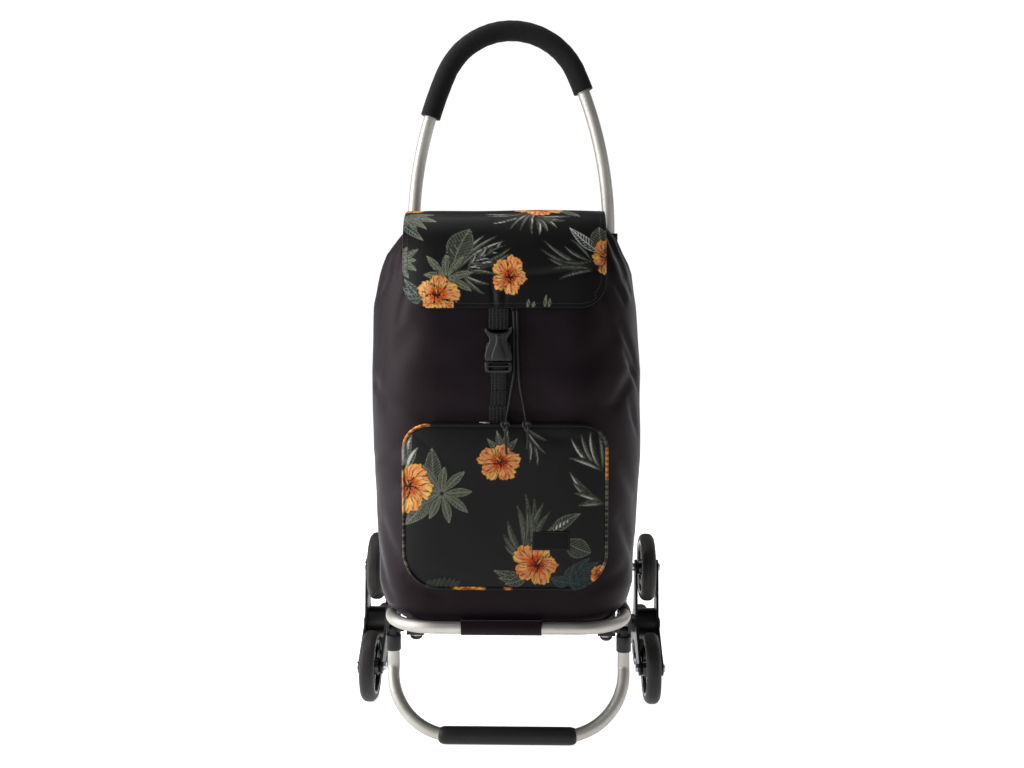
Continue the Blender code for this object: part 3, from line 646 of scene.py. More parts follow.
# %% Stand loop, with a kink below each sleeve
STAND_Y = -0.147
STAND_TOP, STAND_KINK_Z = 0.132, 0.092
STAND_TILT = math.radians(28)
STAND_CORNER = 0.086
STAND_TUBE_RADIUS = 0.0083
FOOT_RADIUS = 0.0112
KINK_RADIUS = 0.02
tangent = KINK_RADIUS * math.tan(STAND_TILT / 2)
down = Vector((0, -math.sin(STAND_TILT), -math.cos(STAND_TILT)))
straight = (STAND_KINK_Z - FOOT_RADIUS) / math.cos(STAND_TILT) - STAND_CORNER
bend_x = RAIL_X - STAND_CORNER
bend = [Vector((x, STAND_Y, STAND_KINK_Z)) + straight * down for x in (-bend_x, bend_x)]
across = (0, down.z, -down.y)
kink = (0, STAND_Y - KINK_RADIUS, STAND_KINK_Z + tangent)
stand_tube = bent_tube(
    (-RAIL_X, STAND_Y, STAND_TOP),
    STAND_TUBE_RADIUS,
    [
        ("go", (0, 0, STAND_KINK_Z + tangent - STAND_TOP)),
        ("spin", kink, (-1, 0, 0), math.degrees(STAND_TILT), 6),
        ("go", tuple(down * (straight - tangent))),
        ("spin", tuple(bend[0]), across, 90, 24),
        ("go", (2 * bend_x, 0, 0)),
        ("spin", tuple(bend[1]), across, 90, 24),
        ("go", tuple(down * (tangent - straight))),
        ("spin", kink, (1, 0, 0), math.degrees(STAND_TILT), 6),
        ("go", (0, 0, STAND_TOP - STAND_KINK_Z - tangent)),
    ],
)
settle(stand_tube, "stand_tube", "stand", ALUMINIUM, ["stand_loop"])
print(
    "tube ends", [round(c, 4) for c in points_of(handle_tube).max(0)],
    points_of(stand_tube).min(0).round(4),
)

# %% [markdown]
# ## Moulded fittings
#
# The joints, plugs, sleeves and spiders are nylon mouldings. Their CAD shapes are right, but a
# moulding never has a knife edge: each gets a merged copy whose edges are rounded by a bevel.
# They could be modelled afresh, but a copy keeps every pin and hole where its joint needs it.

# %% Round the edges of each moulding


def rounded(node, finish, width):
    """A merged, bevelled copy of a CAD part, which takes its place."""
    source = frame["nodes"][node]
    only(source)
    bpy.ops.object.duplicate()
    item = bpy.context.object
    item.parent = None
    item.matrix_world = Matrix.Identity(4)
    for key in list(item.keys()):
        del item[key]
    begin_edit(item)
    bpy.ops.mesh.customdata_custom_splitnormals_clear()
    bpy.ops.mesh.remove_doubles(threshold=1e-6)
    bpy.ops.mesh.dissolve_limited(angle_limit=math.radians(1))
    bpy.ops.object.mode_set(mode="OBJECT")
    bevel(item, width, degrees=32)
    body = source["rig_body"]
    return settle(item, f"{node}_moulding", body, finish, [node], shift=False)


for side in ("left", "right"):
    for node, width in (
        ("handle_socket", 0.0012), ("handle_knuckle", 0.0014), ("rear_bracket", 0.001),
        ("upright_plug", 0.0006), ("handle_lock_button", 0.0005), ("platform_hinge", 0.0007),
        ("stand_bracket", 0.0007), ("stand_sleeve", 0.0006), ("axle_cap", 0.0005),
        ("spider", 0.0009),
    ):
        rounded(f"{node}_{side}", NYLON, width)
    rounded(f"handle_pin_{side}", ZINC, 0.0005)
    for arm in ("top", "front", "rear"):
        rounded(f"wheel_bolt_{side}_{arm}", ZINC, 0.0006)

# The board lies in the bag's lining, so it goes with the cloth when the platform folds.
base_board = rounded("bag_base_board", BOARD, 0.0006)
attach(base_board, "frame")
BAG_PIECES = [base_board]

# %% [markdown]
# ## Wheels
#
# Each wheel is a nylon hub with five spokes and a rubber tyre with fine grooves round its
# crown. A wheel could be cut out of a disc, but profiles that are spun about the axle keep their
# surfaces clean. One wheel is modelled about its axis and copied to the six places.

# %% One tyre and one hub
WHEEL_RADIUS = 0.051
TYRE_HALF = 0.0105
GROOVE = 0.0005
crown = []
for i in range(41):
    across_tyre = -TYRE_HALF + 2 * TYRE_HALF * i / 40
    share = abs(across_tyre) / TYRE_HALF
    height = WHEEL_RADIUS - 0.0058 * share**3.2
    groove = GROOVE if i % 4 == 2 and share < 0.8 else 0.0
    crown.append((across_tyre, height - groove))
side_wall = [(-TYRE_HALF - 0.0002, 0.0438), (-TYRE_HALF, 0.0418), (-TYRE_HALF + 0.0008, 0.0402)]
tyre_profile = side_wall[::-1] + crown + [(-a, r) for a, r in side_wall]
tyre = turned(tyre_profile, (0, 0, 0), "X", 96)

rim_profile = [
    (-0.0098, 0.0402), (-0.0101, 0.0393), (-0.0098, 0.0372), (-0.0088, 0.0362), (-0.0040, 0.0352),
    (0.0040, 0.0352), (0.0088, 0.0362), (0.0098, 0.0372), (0.0101, 0.0393), (0.0098, 0.0402),
]
rim = turned(rim_profile, (0, 0, 0), "X", 96)
hub_profile = [
    (-0.0132, 0.0045), (-0.0132, 0.0098), (-0.0124, 0.0110), (-0.0060, 0.0128),
    (0.0060, 0.0128), (0.0124, 0.0110), (0.0132, 0.0098), (0.0132, 0.0045),
]
hub = turned(hub_profile, (0, 0, 0), "X", 48)
web = turned(
    [(-0.0016, 0.012), (0.0016, 0.012), (0.0016, 0.0356), (-0.0016, 0.0356)], (0, 0, 0), "X", 48
)
SPOKES = 5
spoke_outline = [
    (-0.0042, 0.0105), (-0.0030, 0.020), (-0.0034, 0.0360), (0.0034, 0.0360), (0.0030, 0.020),
    (0.0042, 0.0105),
]
spokes = []
for k in range(SPOKES):
    spoke = plate(spoke_outline, -0.0072, 0.0072, "X")
    bevel(spoke, 0.0011, 2, 40)
    spoke.data.transform(Matrix.Rotation(2 * math.pi * k / SPOKES, 4, "X"))
    spokes.append(spoke)
hub = join(rim, hub, web, *spokes)
print("tyre", len(tyre.data.polygons), "faces, hub", len(hub.data.polygons), "faces")

# %% Six wheels
AXLE_Y, AXLE_Z, WHEEL_ARM, WHEEL_X = 0.044, 0.095, 0.088, 0.2065
for side, sign in (("left", -1), ("right", 1)):
    for arm, angle in (("top", 90), ("front", 210), ("rear", 330)):
        turn = math.radians(angle)
        place = (
            sign * WHEEL_X, AXLE_Y + WHEEL_ARM * math.cos(turn),
            AXLE_Z + WHEEL_ARM * math.sin(turn),
        )
        for model, label, slot, finish in (
            (tyre, "tyre", "tread_rubber", TYRE), (hub, "wheel", "black_nylon", GLOSSY_NYLON)
        ):
            piece = bpy.data.objects.new("copy", model.data.copy())
            bpy.context.collection.objects.link(piece)
            piece.data.transform(Matrix.Rotation(0.3 + turn, 4, "X"))
            piece.location = place
            node = f"{label}_{side}_{arm}"
            settle(piece, f"{label}_{arm}_{side}", f"wheel_{side}_{arm}", finish, [node])
bpy.data.objects.remove(tyre)
bpy.data.objects.remove(hub)
print("six wheels of", round(2 * WHEEL_RADIUS * 1000), "mm")

# %% [markdown]
# ## The bag's body
#
# The bag is a sack of satin polyester: a flat back against the uprights, rounded front corners,
# a hemmed base, and a mouth that a drawstring gathers under the flap. A grid of cloth is wrapped
# round the sections of the sack and closed under its base, and then its surface is pushed in and
# out along its normals for the gathers, the soft waves and the single creases. A cloth simulation
# would find folds of its own, but it takes minutes and is hard to aim, while a crease with two
# ends, a width and a depth goes where it is wanted.

# %% Cloth grids


def eased(value, low, high):
    """0 below low, 1 above high, with a smooth rise between."""
    share = np.clip((value - low) / (high - low), 0, 1)
    return share * share * (3 - 2 * share)


def cloth_grid(columns, rows, shape, size):
    """A grid bent by shape(a, b), where a and b run from 0 to 1, with a UV map in metres."""
    bpy.ops.mesh.primitive_grid_add(x_subdivisions=columns, y_subdivisions=rows, size=2)
    item = bpy.context.object
    flat = points_of(item)
    a, b = (flat[:, 0] + 1) / 2, (flat[:, 1] + 1) / 2
    set_points(item, shape(a, b))
    layer = item.data.uv_layers[0]
    layer.name = "cloth"
    corner = np.empty(len(item.data.loops), int)
    item.data.loops.foreach_get("vertex_index", corner)
    layer.data.foreach_set("uv", np.stack([a[corner] * size[0], b[corner] * size[1]], 1).ravel())
    return item, a, b


def close_seam(item, merge=1e-5, fill=False):
    """Joins the edges of a rolled grid, and fills its open ends if asked."""
    begin_edit(item)
    bpy.ops.mesh.remove_doubles(threshold=merge)
    if fill:
        bpy.ops.mesh.fill_holes(sides=0)
    return end_edit(item, 0)


def tube_along(path, radius, sides=14, closed=False):
    """A round cord of cloth along a path: a grid rolled up lengthways and closed along its seam."""
    path = np.array(path, float)
    if closed:
        path = np.concatenate([path, path[:1]])
    steps = np.linalg.norm(np.diff(path, axis=0), axis=1)
    length = steps.sum()
    ways = np.gradient(path, axis=0)
    if closed:
        ways[0] = ways[-1] = path[1] - path[-2]
    ways /= np.linalg.norm(ways, axis=1, keepdims=True)
    side = np.cross(ways[0], (0.3, 0.9, 0.2))
    sides_at = []
    for way in ways:
        side = side - way * side.dot(way)
        side = side / np.linalg.norm(side)
        sides_at.append(side)
    sides_at = np.array(sides_at)
    if closed:
        sides_at[-1] = sides_at[0]
    ups_at = np.cross(ways, sides_at)
    rows = len(path) - 1

    def shape(a, b):
        i = np.clip(np.rint(b * rows).astype(int), 0, rows)
        turn = 2 * math.pi * a
        r = radius(b) if callable(radius) else radius
        ring = np.cos(turn)[:, None] * sides_at[i] + np.sin(turn)[:, None] * ups_at[i]
        return path[i] + ring * np.reshape(r, (-1, 1) if np.ndim(r) else (1, 1))

    item, _, _ = cloth_grid(sides, rows, shape, (2 * math.pi * 0.0015, length))
    return close_seam(item, 1e-6, fill=not closed)


def crease(points, start, stop, width, depth):
    """How far a crease between two places pushes each point. Depth is below 0 for a groove."""
    start, stop = np.array(start, float), np.array(stop, float)
    run = stop - start
    share = np.clip((points - start) @ run / run.dot(run), 0, 1)
    gap = np.linalg.norm(points - start - share[:, None] * run, axis=1)
    fade = 0.35 + 0.65 * np.sin(math.pi * np.clip(share, 0.05, 0.95))
    return depth * np.exp(-((gap / width) ** 2)) * fade


def lumps(points, size, seed):
    """Smooth random numbers about 0 that vary over a distance of size metres."""
    random = np.random.RandomState(seed)
    total = np.zeros(len(points))
    for _ in range(7):
        way = random.normal(size=3)
        way /= np.linalg.norm(way)
        long = size * random.uniform(0.7, 1.5)
        total += np.sin(points @ way * 2 * math.pi / long + random.uniform(0, 6.28))
    return total / 7


# %% [markdown]
# ## The foot of the stand
#
# A rubber sleeve is pushed over the stand's cross tube, and its ends are moulded as low domes.
# It could be a turned shape, but the grid that rolls up a cord of cloth already takes a radius
# that changes along its path, so the same helper makes it.

# %% Foot of the stand
DOME = 0.010
DOME_TIP = 0.62
PAD_PAST = 0.003
source = frame["nodes"]["foot_pad"]
corners = np.array([source.matrix_world @ v.co for v in source.data.vertices])
low, high = corners.min(0), corners.max(0)
pad_radius = (high[2] - low[2]) / 2
pad_ends = (low[0] - PAD_PAST, high[0] + PAD_PAST)
pad_y, pad_z = (low[1] + high[1]) / 2 - SHIFT, (low[2] + high[2]) / 2
pad_line = [(x, pad_y, pad_z) for x in np.linspace(*pad_ends, 90)]
pad_share = DOME / (pad_ends[1] - pad_ends[0])


def pad_profile(b):
    """The sleeve's radius, which falls off over the dome at each end."""
    into = np.clip(1 - np.minimum(b, 1 - b) / pad_share, 0, 0.995)
    return pad_radius * (DOME_TIP + (1 - DOME_TIP) * np.sqrt(1 - into**2))


foot_pad = tube_along(pad_line, pad_profile, 40)
settle(foot_pad, "foot_pad_moulding", "stand", FOOT, ["foot_pad"], smooth=60)
print("foot", round((pad_ends[1] - pad_ends[0]) * 1000), "mm long")

# %% Sewing a piece to the bag


def sew(item, name, finish, body="frame", replaced=(), smooth=60):
    """Settles a piece of the bag and adds it to the list of the bag's pieces."""
    BAG_PIECES.append(item)
    return settle(item, name, body, finish, replaced, smooth=smooth)


# %% Sections of the sack, from its base to its mouth
# Height, left side, right side and front, in metres.
SACK = np.array([
    (0.1790, -0.161, 0.153, -0.2085), (0.1850, -0.168, 0.160, -0.2115),
    (0.2117, -0.175, 0.169, -0.2130), (0.2756, -0.180, 0.174, -0.2155),
    (0.3742, -0.184, 0.1785, -0.2165), (0.4929, -0.186, 0.1785, -0.2160),
    (0.5828, -0.1845, 0.1725, -0.2082), (0.6103, -0.1800, 0.1690, -0.2035),
    (0.6240, -0.1762, 0.1665, -0.2000), (0.6377, -0.1710, 0.1610, -0.1950),
    (0.6514, -0.1650, 0.1530, -0.1885), (0.6718, -0.1500, 0.1440, -0.1755),
    (0.6990, -0.1290, 0.1220, -0.1530),
])
BAG_X, BAG_HALF = -0.004, 0.180
BAG_BACK = -0.0140
FRONT_CORNER, BACK_CORNER = 0.100, 0.040
# The front corners are tighter by this much at the neck, and again at the base.
CORNER_LOSS = 0.030
NECK, FOOT_ROUND = (0.60, 0.69), (0.185, 0.300)


def section(height, around, inset=0.0):
    """Points and outward directions of the sack at some heights, at a share of the way around."""
    left, right, front = (np.interp(height, SACK[:, 0], SACK[:, k]) for k in (1, 2, 3))
    left, right, front, back = left + inset, right - inset, front + inset, BAG_BACK - inset
    tighten = eased(height, *NECK)
    rf = FRONT_CORNER - CORNER_LOSS * tighten
    rf = rf - CORNER_LOSS * (1 - eased(height, *FOOT_ROUND)) - inset
    rb = BACK_CORNER - inset + 0 * height
    half = (right - left) / 2
    deep = back - front
    quarter = math.pi / 2
    lengths = [
        half - rb, quarter * rb, deep - rb - rf, quarter * rf, 2 * (half - rf), quarter * rf,
        deep - rb - rf, quarter * rb, half - rb,
    ]
    ends = np.cumsum(lengths, axis=0)
    at = around * ends[-1]
    begins = ends - lengths
    k = np.clip((at[None, :] > ends).sum(0), 0, 8)
    take = np.arange(len(at))
    part = (at - begins[k, take]) / np.array(lengths)[k, take]
    middle = (left + right) / 2
    x, y, nx, ny = (np.zeros(len(at)) for _ in range(4))
    straight = {
        0: (middle, right - rb, back, back, 0, 1),
        2: (right, right, back - rb, front + rf, 1, 0),
        4: (right - rf, left + rf, front, front, 0, -1),
        6: (left, left, front + rf, back - rb, -1, 0),
        8: (left + rb, middle, back, back, 0, 1),
    }
    for key, (x0, x1, y0, y1, out_x, out_y) in straight.items():
        here = k == key
        x = np.where(here, x0 + (x1 - x0) * part, x)
        y = np.where(here, y0 + (y1 - y0) * part, y)
        nx, ny = np.where(here, out_x, nx), np.where(here, out_y, ny)
    bends = {
        1: (right - rb, back - rb, rb, 90), 3: (right - rf, front + rf, rf, 0),
        5: (left + rf, front + rf, rf, -90), 7: (left + rb, back - rb, rb, -180),
    }
    for key, (cx, cy, r, start) in bends.items():
        here = k == key
        turn = np.radians(start) - quarter * part
        x = np.where(here, cx + r * np.cos(turn), x)
        y = np.where(here, cy + r * np.sin(turn), y)
        nx, ny = np.where(here, np.cos(turn), nx), np.where(here, np.sin(turn), ny)
    return np.stack([x, y, height], 1), np.stack([nx, ny, 0 * nx], 1)


def recess(x):
    """How far the sack's front has curved back at a place across it."""
    past = np.clip(np.abs(np.asarray(x) - BAG_X) - (BAG_HALF - FRONT_CORNER), 0, FRONT_CORNER)
    return FRONT_CORNER - np.sqrt(FRONT_CORNER**2 - past**2)


# Creases (depth below 0) and puffs: share of the way around and height where each starts and
# stops, how wide it is and how deep. The front's middle is at a share of 0.5, its left is above.
CREASES = (
    (0.640, 0.668, 0.700, 0.604, 0.0040, -0.0044), (0.655, 0.655, 0.690, 0.590, 0.0050, -0.0034),
    (0.648, 0.662, 0.695, 0.596, 0.0040, 0.0028), (0.625, 0.640, 0.640, 0.560, 0.0060, -0.0030),
    (0.350, 0.665, 0.300, 0.600, 0.0038, -0.0046), (0.365, 0.650, 0.325, 0.588, 0.0050, -0.0032),
    (0.357, 0.658, 0.312, 0.592, 0.0040, 0.0028), (0.385, 0.640, 0.350, 0.540, 0.0070, -0.0030),
    (0.660, 0.450, 0.520, 0.446, 0.0070, -0.0034), (0.480, 0.447, 0.350, 0.455, 0.0070, -0.0034),
    (0.650, 0.478, 0.540, 0.470, 0.0220, 0.0030), (0.460, 0.472, 0.360, 0.482, 0.0220, 0.0030),
    (0.600, 0.440, 0.700, 0.478, 0.0090, -0.0034), (0.620, 0.405, 0.715, 0.372, 0.0110, -0.0034),
    (0.665, 0.540, 0.700, 0.460, 0.0120, -0.0034), (0.640, 0.350, 0.700, 0.310, 0.0120, -0.0034),
    (0.630, 0.226, 0.580, 0.205, 0.0080, -0.0028), (0.680, 0.290, 0.620, 0.215, 0.0120, -0.0032),
    (0.700, 0.250, 0.660, 0.200, 0.0100, -0.0032), (0.610, 0.560, 0.660, 0.500, 0.0160, -0.0026),
    (0.340, 0.560, 0.300, 0.500, 0.0070, -0.0036), (0.330, 0.520, 0.295, 0.470, 0.0060, -0.0038),
    (0.325, 0.455, 0.300, 0.415, 0.0070, -0.0036), (0.360, 0.452, 0.310, 0.500, 0.0100, -0.0032),
    (0.350, 0.380, 0.300, 0.330, 0.0120, -0.0034), (0.400, 0.210, 0.330, 0.236, 0.0090, -0.0028),
    (0.340, 0.300, 0.300, 0.250, 0.0100, -0.0034), (0.440, 0.470, 0.360, 0.540, 0.0160, -0.0028),
    (0.510, 0.560, 0.600, 0.520, 0.0140, 0.0020), (0.745, 0.520, 0.790, 0.430, 0.0140, -0.0030),
    (0.750, 0.330, 0.790, 0.270, 0.0140, -0.0030), (0.255, 0.500, 0.210, 0.400, 0.0140, -0.0030),
    (0.250, 0.300, 0.210, 0.240, 0.0130, -0.0030),
)
MOUTH_Z, BASE_Z = SACK[-1, 0], SACK[0, 0]


def inside_loop(points):
    """1 where a point is inside the platform loop, clear of its tube, and 0 over the tube."""
    qx = np.abs(points[:, 0]) - (RAIL_X - PLATFORM_CORNER)
    qy = PLATFORM_FRONT + PLATFORM_CORNER - points[:, 1]
    reach = np.hypot(np.maximum(qx, 0), np.maximum(qy, 0)) + np.minimum(np.maximum(qx, qy), 0)
    return eased(PLATFORM_CORNER - reach, RAIL_RADIUS + 0.0006, RAIL_RADIUS + 0.0066)


BASE_SHARE = 0.12
SAG = 0.0100
GATHERS, GATHER_DEPTH = 30, 0.0034


def gather_wave(around):
    """The mouth's gathers, as shares of their depth: narrow hollows between fuller folds."""
    fan = np.sin(2 * math.pi * GATHERS * around + 2.4 * np.sin(6 * math.pi * around + 1.0))
    return np.abs(fan) ** 0.7 * np.sign(fan) - 0.3


def sack_shape(inset, folds):
    """The sack as a shape for cloth_grid: a base that closes to one point, then its wall."""

    def shape(a, b):
        up = np.clip((b - BASE_SHARE) / (1 - BASE_SHARE), 0, 1)
        height = BASE_Z + (MOUTH_Z - BASE_Z) * up
        points, out = section(height, a, inset)
        if folds:
            gather = eased(height, 0.590, 0.690)
            push = GATHER_DEPTH * gather * gather_wave(a)
            free = eased(height, BASE_Z + 0.004, BASE_Z + 0.05) * (1 - 0.5 * gather)
            push += free * (0.0020 * lumps(points, 0.16, 3) + 0.0011 * lumps(points, 0.07, 8))
            for a0, z0, a1, z1, width, depth in CREASES:
                ends, _ = section(np.array([z0, z1]), np.array([a0, a1]))
                push += crease(points, ends[0], ends[1], width, depth)
            push -= 0.0012 * np.exp(-(((height - BASE_Z - 0.0062) / 0.0016) ** 2))
            back = eased(points[:, 1], -0.030, BAG_BACK)
            points = points + out * (push * (1 - 0.9 * back))[:, None]
        under = np.clip(b / BASE_SHARE, 0, 1)
        centre = np.array([BAG_X, -0.11, BASE_Z + inset])
        level = centre + (points - centre) * under[:, None]
        level[:, 2] = BASE_Z + inset
        cloth = np.where((b < BASE_SHARE)[:, None], level, points)
        cloth[:, 2] -= SAG * inside_loop(cloth) * (1 - eased(cloth[:, 2], BASE_Z + inset, 0.208))
        return cloth

    return shape


# %% Sack and lining
sack, _, _ = cloth_grid(300, 150, sack_shape(0.0, True), (0.98, 0.60))
close_seam(sack, 2e-5)
sew(sack, "bag_satin", SATIN, replaced=["bag_body"])
lining, _, _ = cloth_grid(120, 50, sack_shape(0.0085, False), (0.95, 0.58))
close_seam(lining, 2e-5)
flip(lining)
sew(lining, "bag_lining", LINING)

print("bag shell", len(sack.data.polygons), "faces")

# %% Hems at the mouth and the base
turns = np.linspace(0, 1, 240, endpoint=False)
rim, rim_out = section(np.full(len(turns), MOUTH_Z), turns, 0.0042)
rim += rim_out * (0.0030 * gather_wave(turns))[:, None]
mouth_hem = tube_along(rim, 0.0048, 16, closed=True)
sew(mouth_hem, "bag_mouth_hem", SATIN)
foot, foot_out = section(np.full(len(turns), BASE_Z + 0.0022), turns)
foot[:, 2] -= SAG * inside_loop(foot)
base_hem = tube_along(foot - foot_out * 0.0004, 0.0017, 10, closed=True)
sew(base_hem, "bag_base_piping", SATIN)
print("hems round", len(turns), "places of the mouth and the base")

# %% [markdown]
# ## The print
#
# The flap and pocket are cut from a black satin printed with hibiscus flowers, palm fronds and
# veined leaves. Each motif is a formula in the cloth's own flat coordinates, in metres: petals
# are a rosette in polar form, leaves are pointed ovals with ribs, and a frond is a fan of thin
# blades. They are laid over each other, as a printer lays inks, into a colour attribute. A picture
# could hold the print, but formulas need no file and bend with the cloth.

# %% Inks and motifs
GROUND = srgb("#0F0D0E")
OLIVE, DEEP_OLIVE, PALE_VEIN = srgb("#555A49"), srgb("#3B4036"), srgb("#979B88")
TEAL, SILVER = srgb("#25393D"), srgb("#E6E7E4")
ORANGE, AMBER, EMBER = srgb("#F4913C"), srgb("#FFC75C"), srgb("#E0461E")
PETAL_DARK, BLUSH = srgb("#240D0E"), srgb("#E7D9DC")
EDGE = 0.0007


class Print:
    """Flat cloth coordinates in metres, and the colour that has been laid at each."""

    def __init__(self, u, v):
        self.u, self.v = u, v
        self.colour = np.tile(np.array(GROUND), (len(u), 1))
        self.colour *= (1 + 0.05 * np.sin(u * 3100) * np.sin(v * 2900))[:, None]

    def lay(self, mask, ink):
        share = np.clip(mask, 0, 1)[:, None]
        self.colour = self.colour * (1 - share) + np.asarray(ink) * share


def inside(distance, edge=EDGE):
    """1 where a distance is above 0, with a soft edge."""
    return np.clip(0.5 + distance / edge, 0, 1)


# %% Leaves


def leaf(
    cloth, base, tip, width, fill=OLIVE, vein=PALE_VEIN, curl=0.0, ribs=0.0045, shine=0.0,
    widest=0.75,
):
    """A pointed oval leaf from its base to its tip, with ribs and a pale outline."""
    run = np.array(tip) - np.array(base)
    length = math.hypot(*run)
    ex, ey = run / length
    du, dv = cloth.u - base[0], cloth.v - base[1]
    share = (du * ex + dv * ey) / length
    within = np.clip(share, 0, 1)
    off = dv * ex - du * ey - curl * length * 4 * within * (1 - within)
    half = width * np.sin(math.pi * within**widest) ** 0.9
    ends = inside(share * length) * inside((1 - share) * length)
    body = inside(half - np.abs(off)) * ends
    cloth.lay(inside(half + 0.0008 - np.abs(off)) * ends * 0.85, GROUND)
    wave = np.sin(cloth.u * 640 + 2 * np.sin(cloth.v * 410))
    mottle = 0.82 + 0.30 * wave * np.sin(cloth.v * 590 + base[0] * 300)
    cloth.lay(body * 0.94, np.array(fill) * mottle[:, None])
    if ribs:
        phase = (share * length - np.abs(off) * 0.8) / ribs
        rib = inside(0.00032 - np.abs(phase % 1 - 0.5) * ribs, 0.0006)
        cloth.lay(body * rib * 0.55, vein)
        cloth.lay(body * inside(0.0004 - np.abs(off)) * 0.8, vein)
        cloth.lay(body * inside(0.0006 - np.abs(half - np.abs(off))) * 0.75, vein)
    if shine:
        glint = inside(half * 0.36 - np.abs(off - half * 0.28))
        glint *= inside(0.4 - np.abs(share - 0.52), 0.2)
        cloth.lay(body * glint * shine, SILVER)


# %% Fronds, sprays and rosettes
FROND_LEAN = 30.0


def frond(cloth, root, tip, blades, reach, width=0.0016, curl=0.0, shine=0.8, fill=OLIVE):
    """A palm frond: long thin blades that fan out from near its root and sweep towards its tip."""
    root, tip = np.array(root, float), np.array(tip, float)
    run = tip - root
    across = np.array([-run[1], run[0]])
    for k in range(blades):
        share = (k + 0.5) / blades
        at = root + 0.62 * (run * share + across * curl * 4 * share * (1 - share))
        long = reach * (0.80 + 0.45 * share) * (1 + 0.16 * math.sin(4.1 * k))
        for side in (1, -1):
            lean = side * FROND_LEAN * (1.35 - 1.15 * share) + 5 * math.sin(3 * k)
            angle = math.atan2(run[1], run[0]) + math.radians(lean)
            end = at + long * np.array([math.cos(angle), math.sin(angle)])
            glow = shine if (k + (side > 0)) % 2 == 0 else 0.25 * shine
            shade = np.array(fill) * (0.72 + 0.28 * math.sin(2.3 * k + side))
            leaf(cloth, at, end, width, shade, ribs=0, curl=-0.08 * side, shine=glow, widest=0.8)


def bunch(cloth, base, tips, width, fill=OLIVE, **how):
    """Leaves of one kind from one place to several tips."""
    for tip in tips:
        leaf(cloth, base, tip, width, fill, **how)


def spray(cloth, base, tips, width=0.0030, fill=OLIVE, shine=0.0, curl=0.07):
    """Separate long blades from one place, each bowed away from the middle one."""
    for k, tip in enumerate(tips):
        bow = curl * (1 if k < len(tips) / 2 else -1)
        shade = np.array(fill) * (0.85 + 0.22 * math.sin(2.3 * k + 1))
        glow = shine * (1.0 if k % 2 == 0 else 0.45)
        leaf(cloth, base, tip, width, shade, PALE_VEIN, bow, 0.0, glow, 1.0)
        run = 0.94 * (np.array(tip) - base)
        leaf(
            cloth, base, tuple(base + run), width * 0.12, np.array(PALE_VEIN) * 0.8,
            curl=bow / 0.94, ribs=0,
        )


def rosette(cloth, centre, count, reach, width, turn=0.0, fill=OLIVE, spread=360.0):
    """Pointed leaves that grow from one point."""
    for k in range(count):
        angle = math.radians(turn + spread * k / count)
        long = reach * (1 + 0.14 * math.sin(2.7 * k))
        end = (centre[0] + long * math.cos(angle), centre[1] + long * math.sin(angle))
        leaf(cloth, centre, end, width, fill, ribs=0.0034, curl=0.04 * math.sin(k), widest=1.25)


# %% Hibiscus flowers


def hibiscus(cloth, centre, radius, turn=0.0, warm=0.5, flat=1.0):
    """Five ragged petals: dark centre, ember throat, orange body, amber rim and streaks."""
    du, dv = cloth.u - centre[0], (cloth.v - centre[1]) / flat
    r = np.hypot(du, dv)
    angle = np.arctan2(dv, du) - math.radians(turn)
    swirl = angle + 0.35 * np.sin(r / radius * 3.0 + turn)
    petal = np.abs(np.cos(2.5 * swirl))
    ruffle = 0.030 * np.sin(11 * angle + turn) + 0.026 * np.sin(19 * angle + 2.0)
    ruffle = ruffle + 0.024 * np.sin(31 * angle)
    uneven = 0.10 * np.sin(angle + turn) + 0.08 * np.sin(2 * angle + 2 * turn)
    rim = radius * (0.60 + 0.38 * petal**0.35 + ruffle + uneven)
    body = inside(rim - r)
    share = r / np.maximum(rim, 1e-6)
    cloth.lay(inside(rim + 0.0012 - r, 0.0014) * 0.7, PETAL_DARK)
    cloth.lay(body, ORANGE)
    wander = 0.5 + 0.5 * np.sin(3 * angle + 9 * share + turn)
    cloth.lay(body * eased(share, 0.30, 0.75) * wander * (0.65 + 0.35 * warm), AMBER)
    cloth.lay(body * (1 - eased(share, 0.20, 0.66)) * (1.15 - warm * 0.6), EMBER)
    patch = 0.5 + 0.5 * np.sin(5 * angle + 7 * share + 3 * turn)
    cloth.lay(body * patch**4 * eased(share, 0.4, 0.7) * (1.0 - warm), EMBER)
    streak = np.clip(1.6 * np.sin(37 * angle + 2.5 * np.sin(5 * angle + 6 * share)) - 0.35, 0, 1)
    reach = 0.62 + 0.30 * np.sin(17 * angle + turn)
    cloth.lay(body * streak * (1 - eased(share, reach - 0.12, reach + 0.12)), PETAL_DARK)
    spark = np.clip(np.sin(29 * angle + 1.3 + 2 * share) - 0.66, 0, 1) * 3
    cloth.lay(body * spark * eased(share, 0.35, 0.6) * 0.45, BLUSH)
    gap = inside(0.16 + 0.10 * np.sin(9 * share + turn) - petal, 0.10)
    cloth.lay(body * gap * inside(0.86 - share, 0.2), PETAL_DARK)
    nick = np.clip(np.sin(23 * angle + 11 * share + turn) - 0.80, 0, 1) * 5
    cloth.lay(body * nick * eased(share, 0.55, 0.75) * 0.8, PETAL_DARK)
    cloth.lay(body * inside(0.0004 - np.abs(rim - r - 0.0009)) * 0.5, AMBER)
    cloth.lay(inside(radius * (0.16 + 0.07 * np.sin(7 * angle)) - r, 0.0010), PETAL_DARK)
    style = math.radians(turn + 36)
    tip_u = centre[0] + 0.5 * radius * math.cos(style)
    tip = (tip_u, centre[1] + 0.5 * radius * flat * math.sin(style))
    leaf(cloth, centre, tip, 0.0007, AMBER, ribs=0)


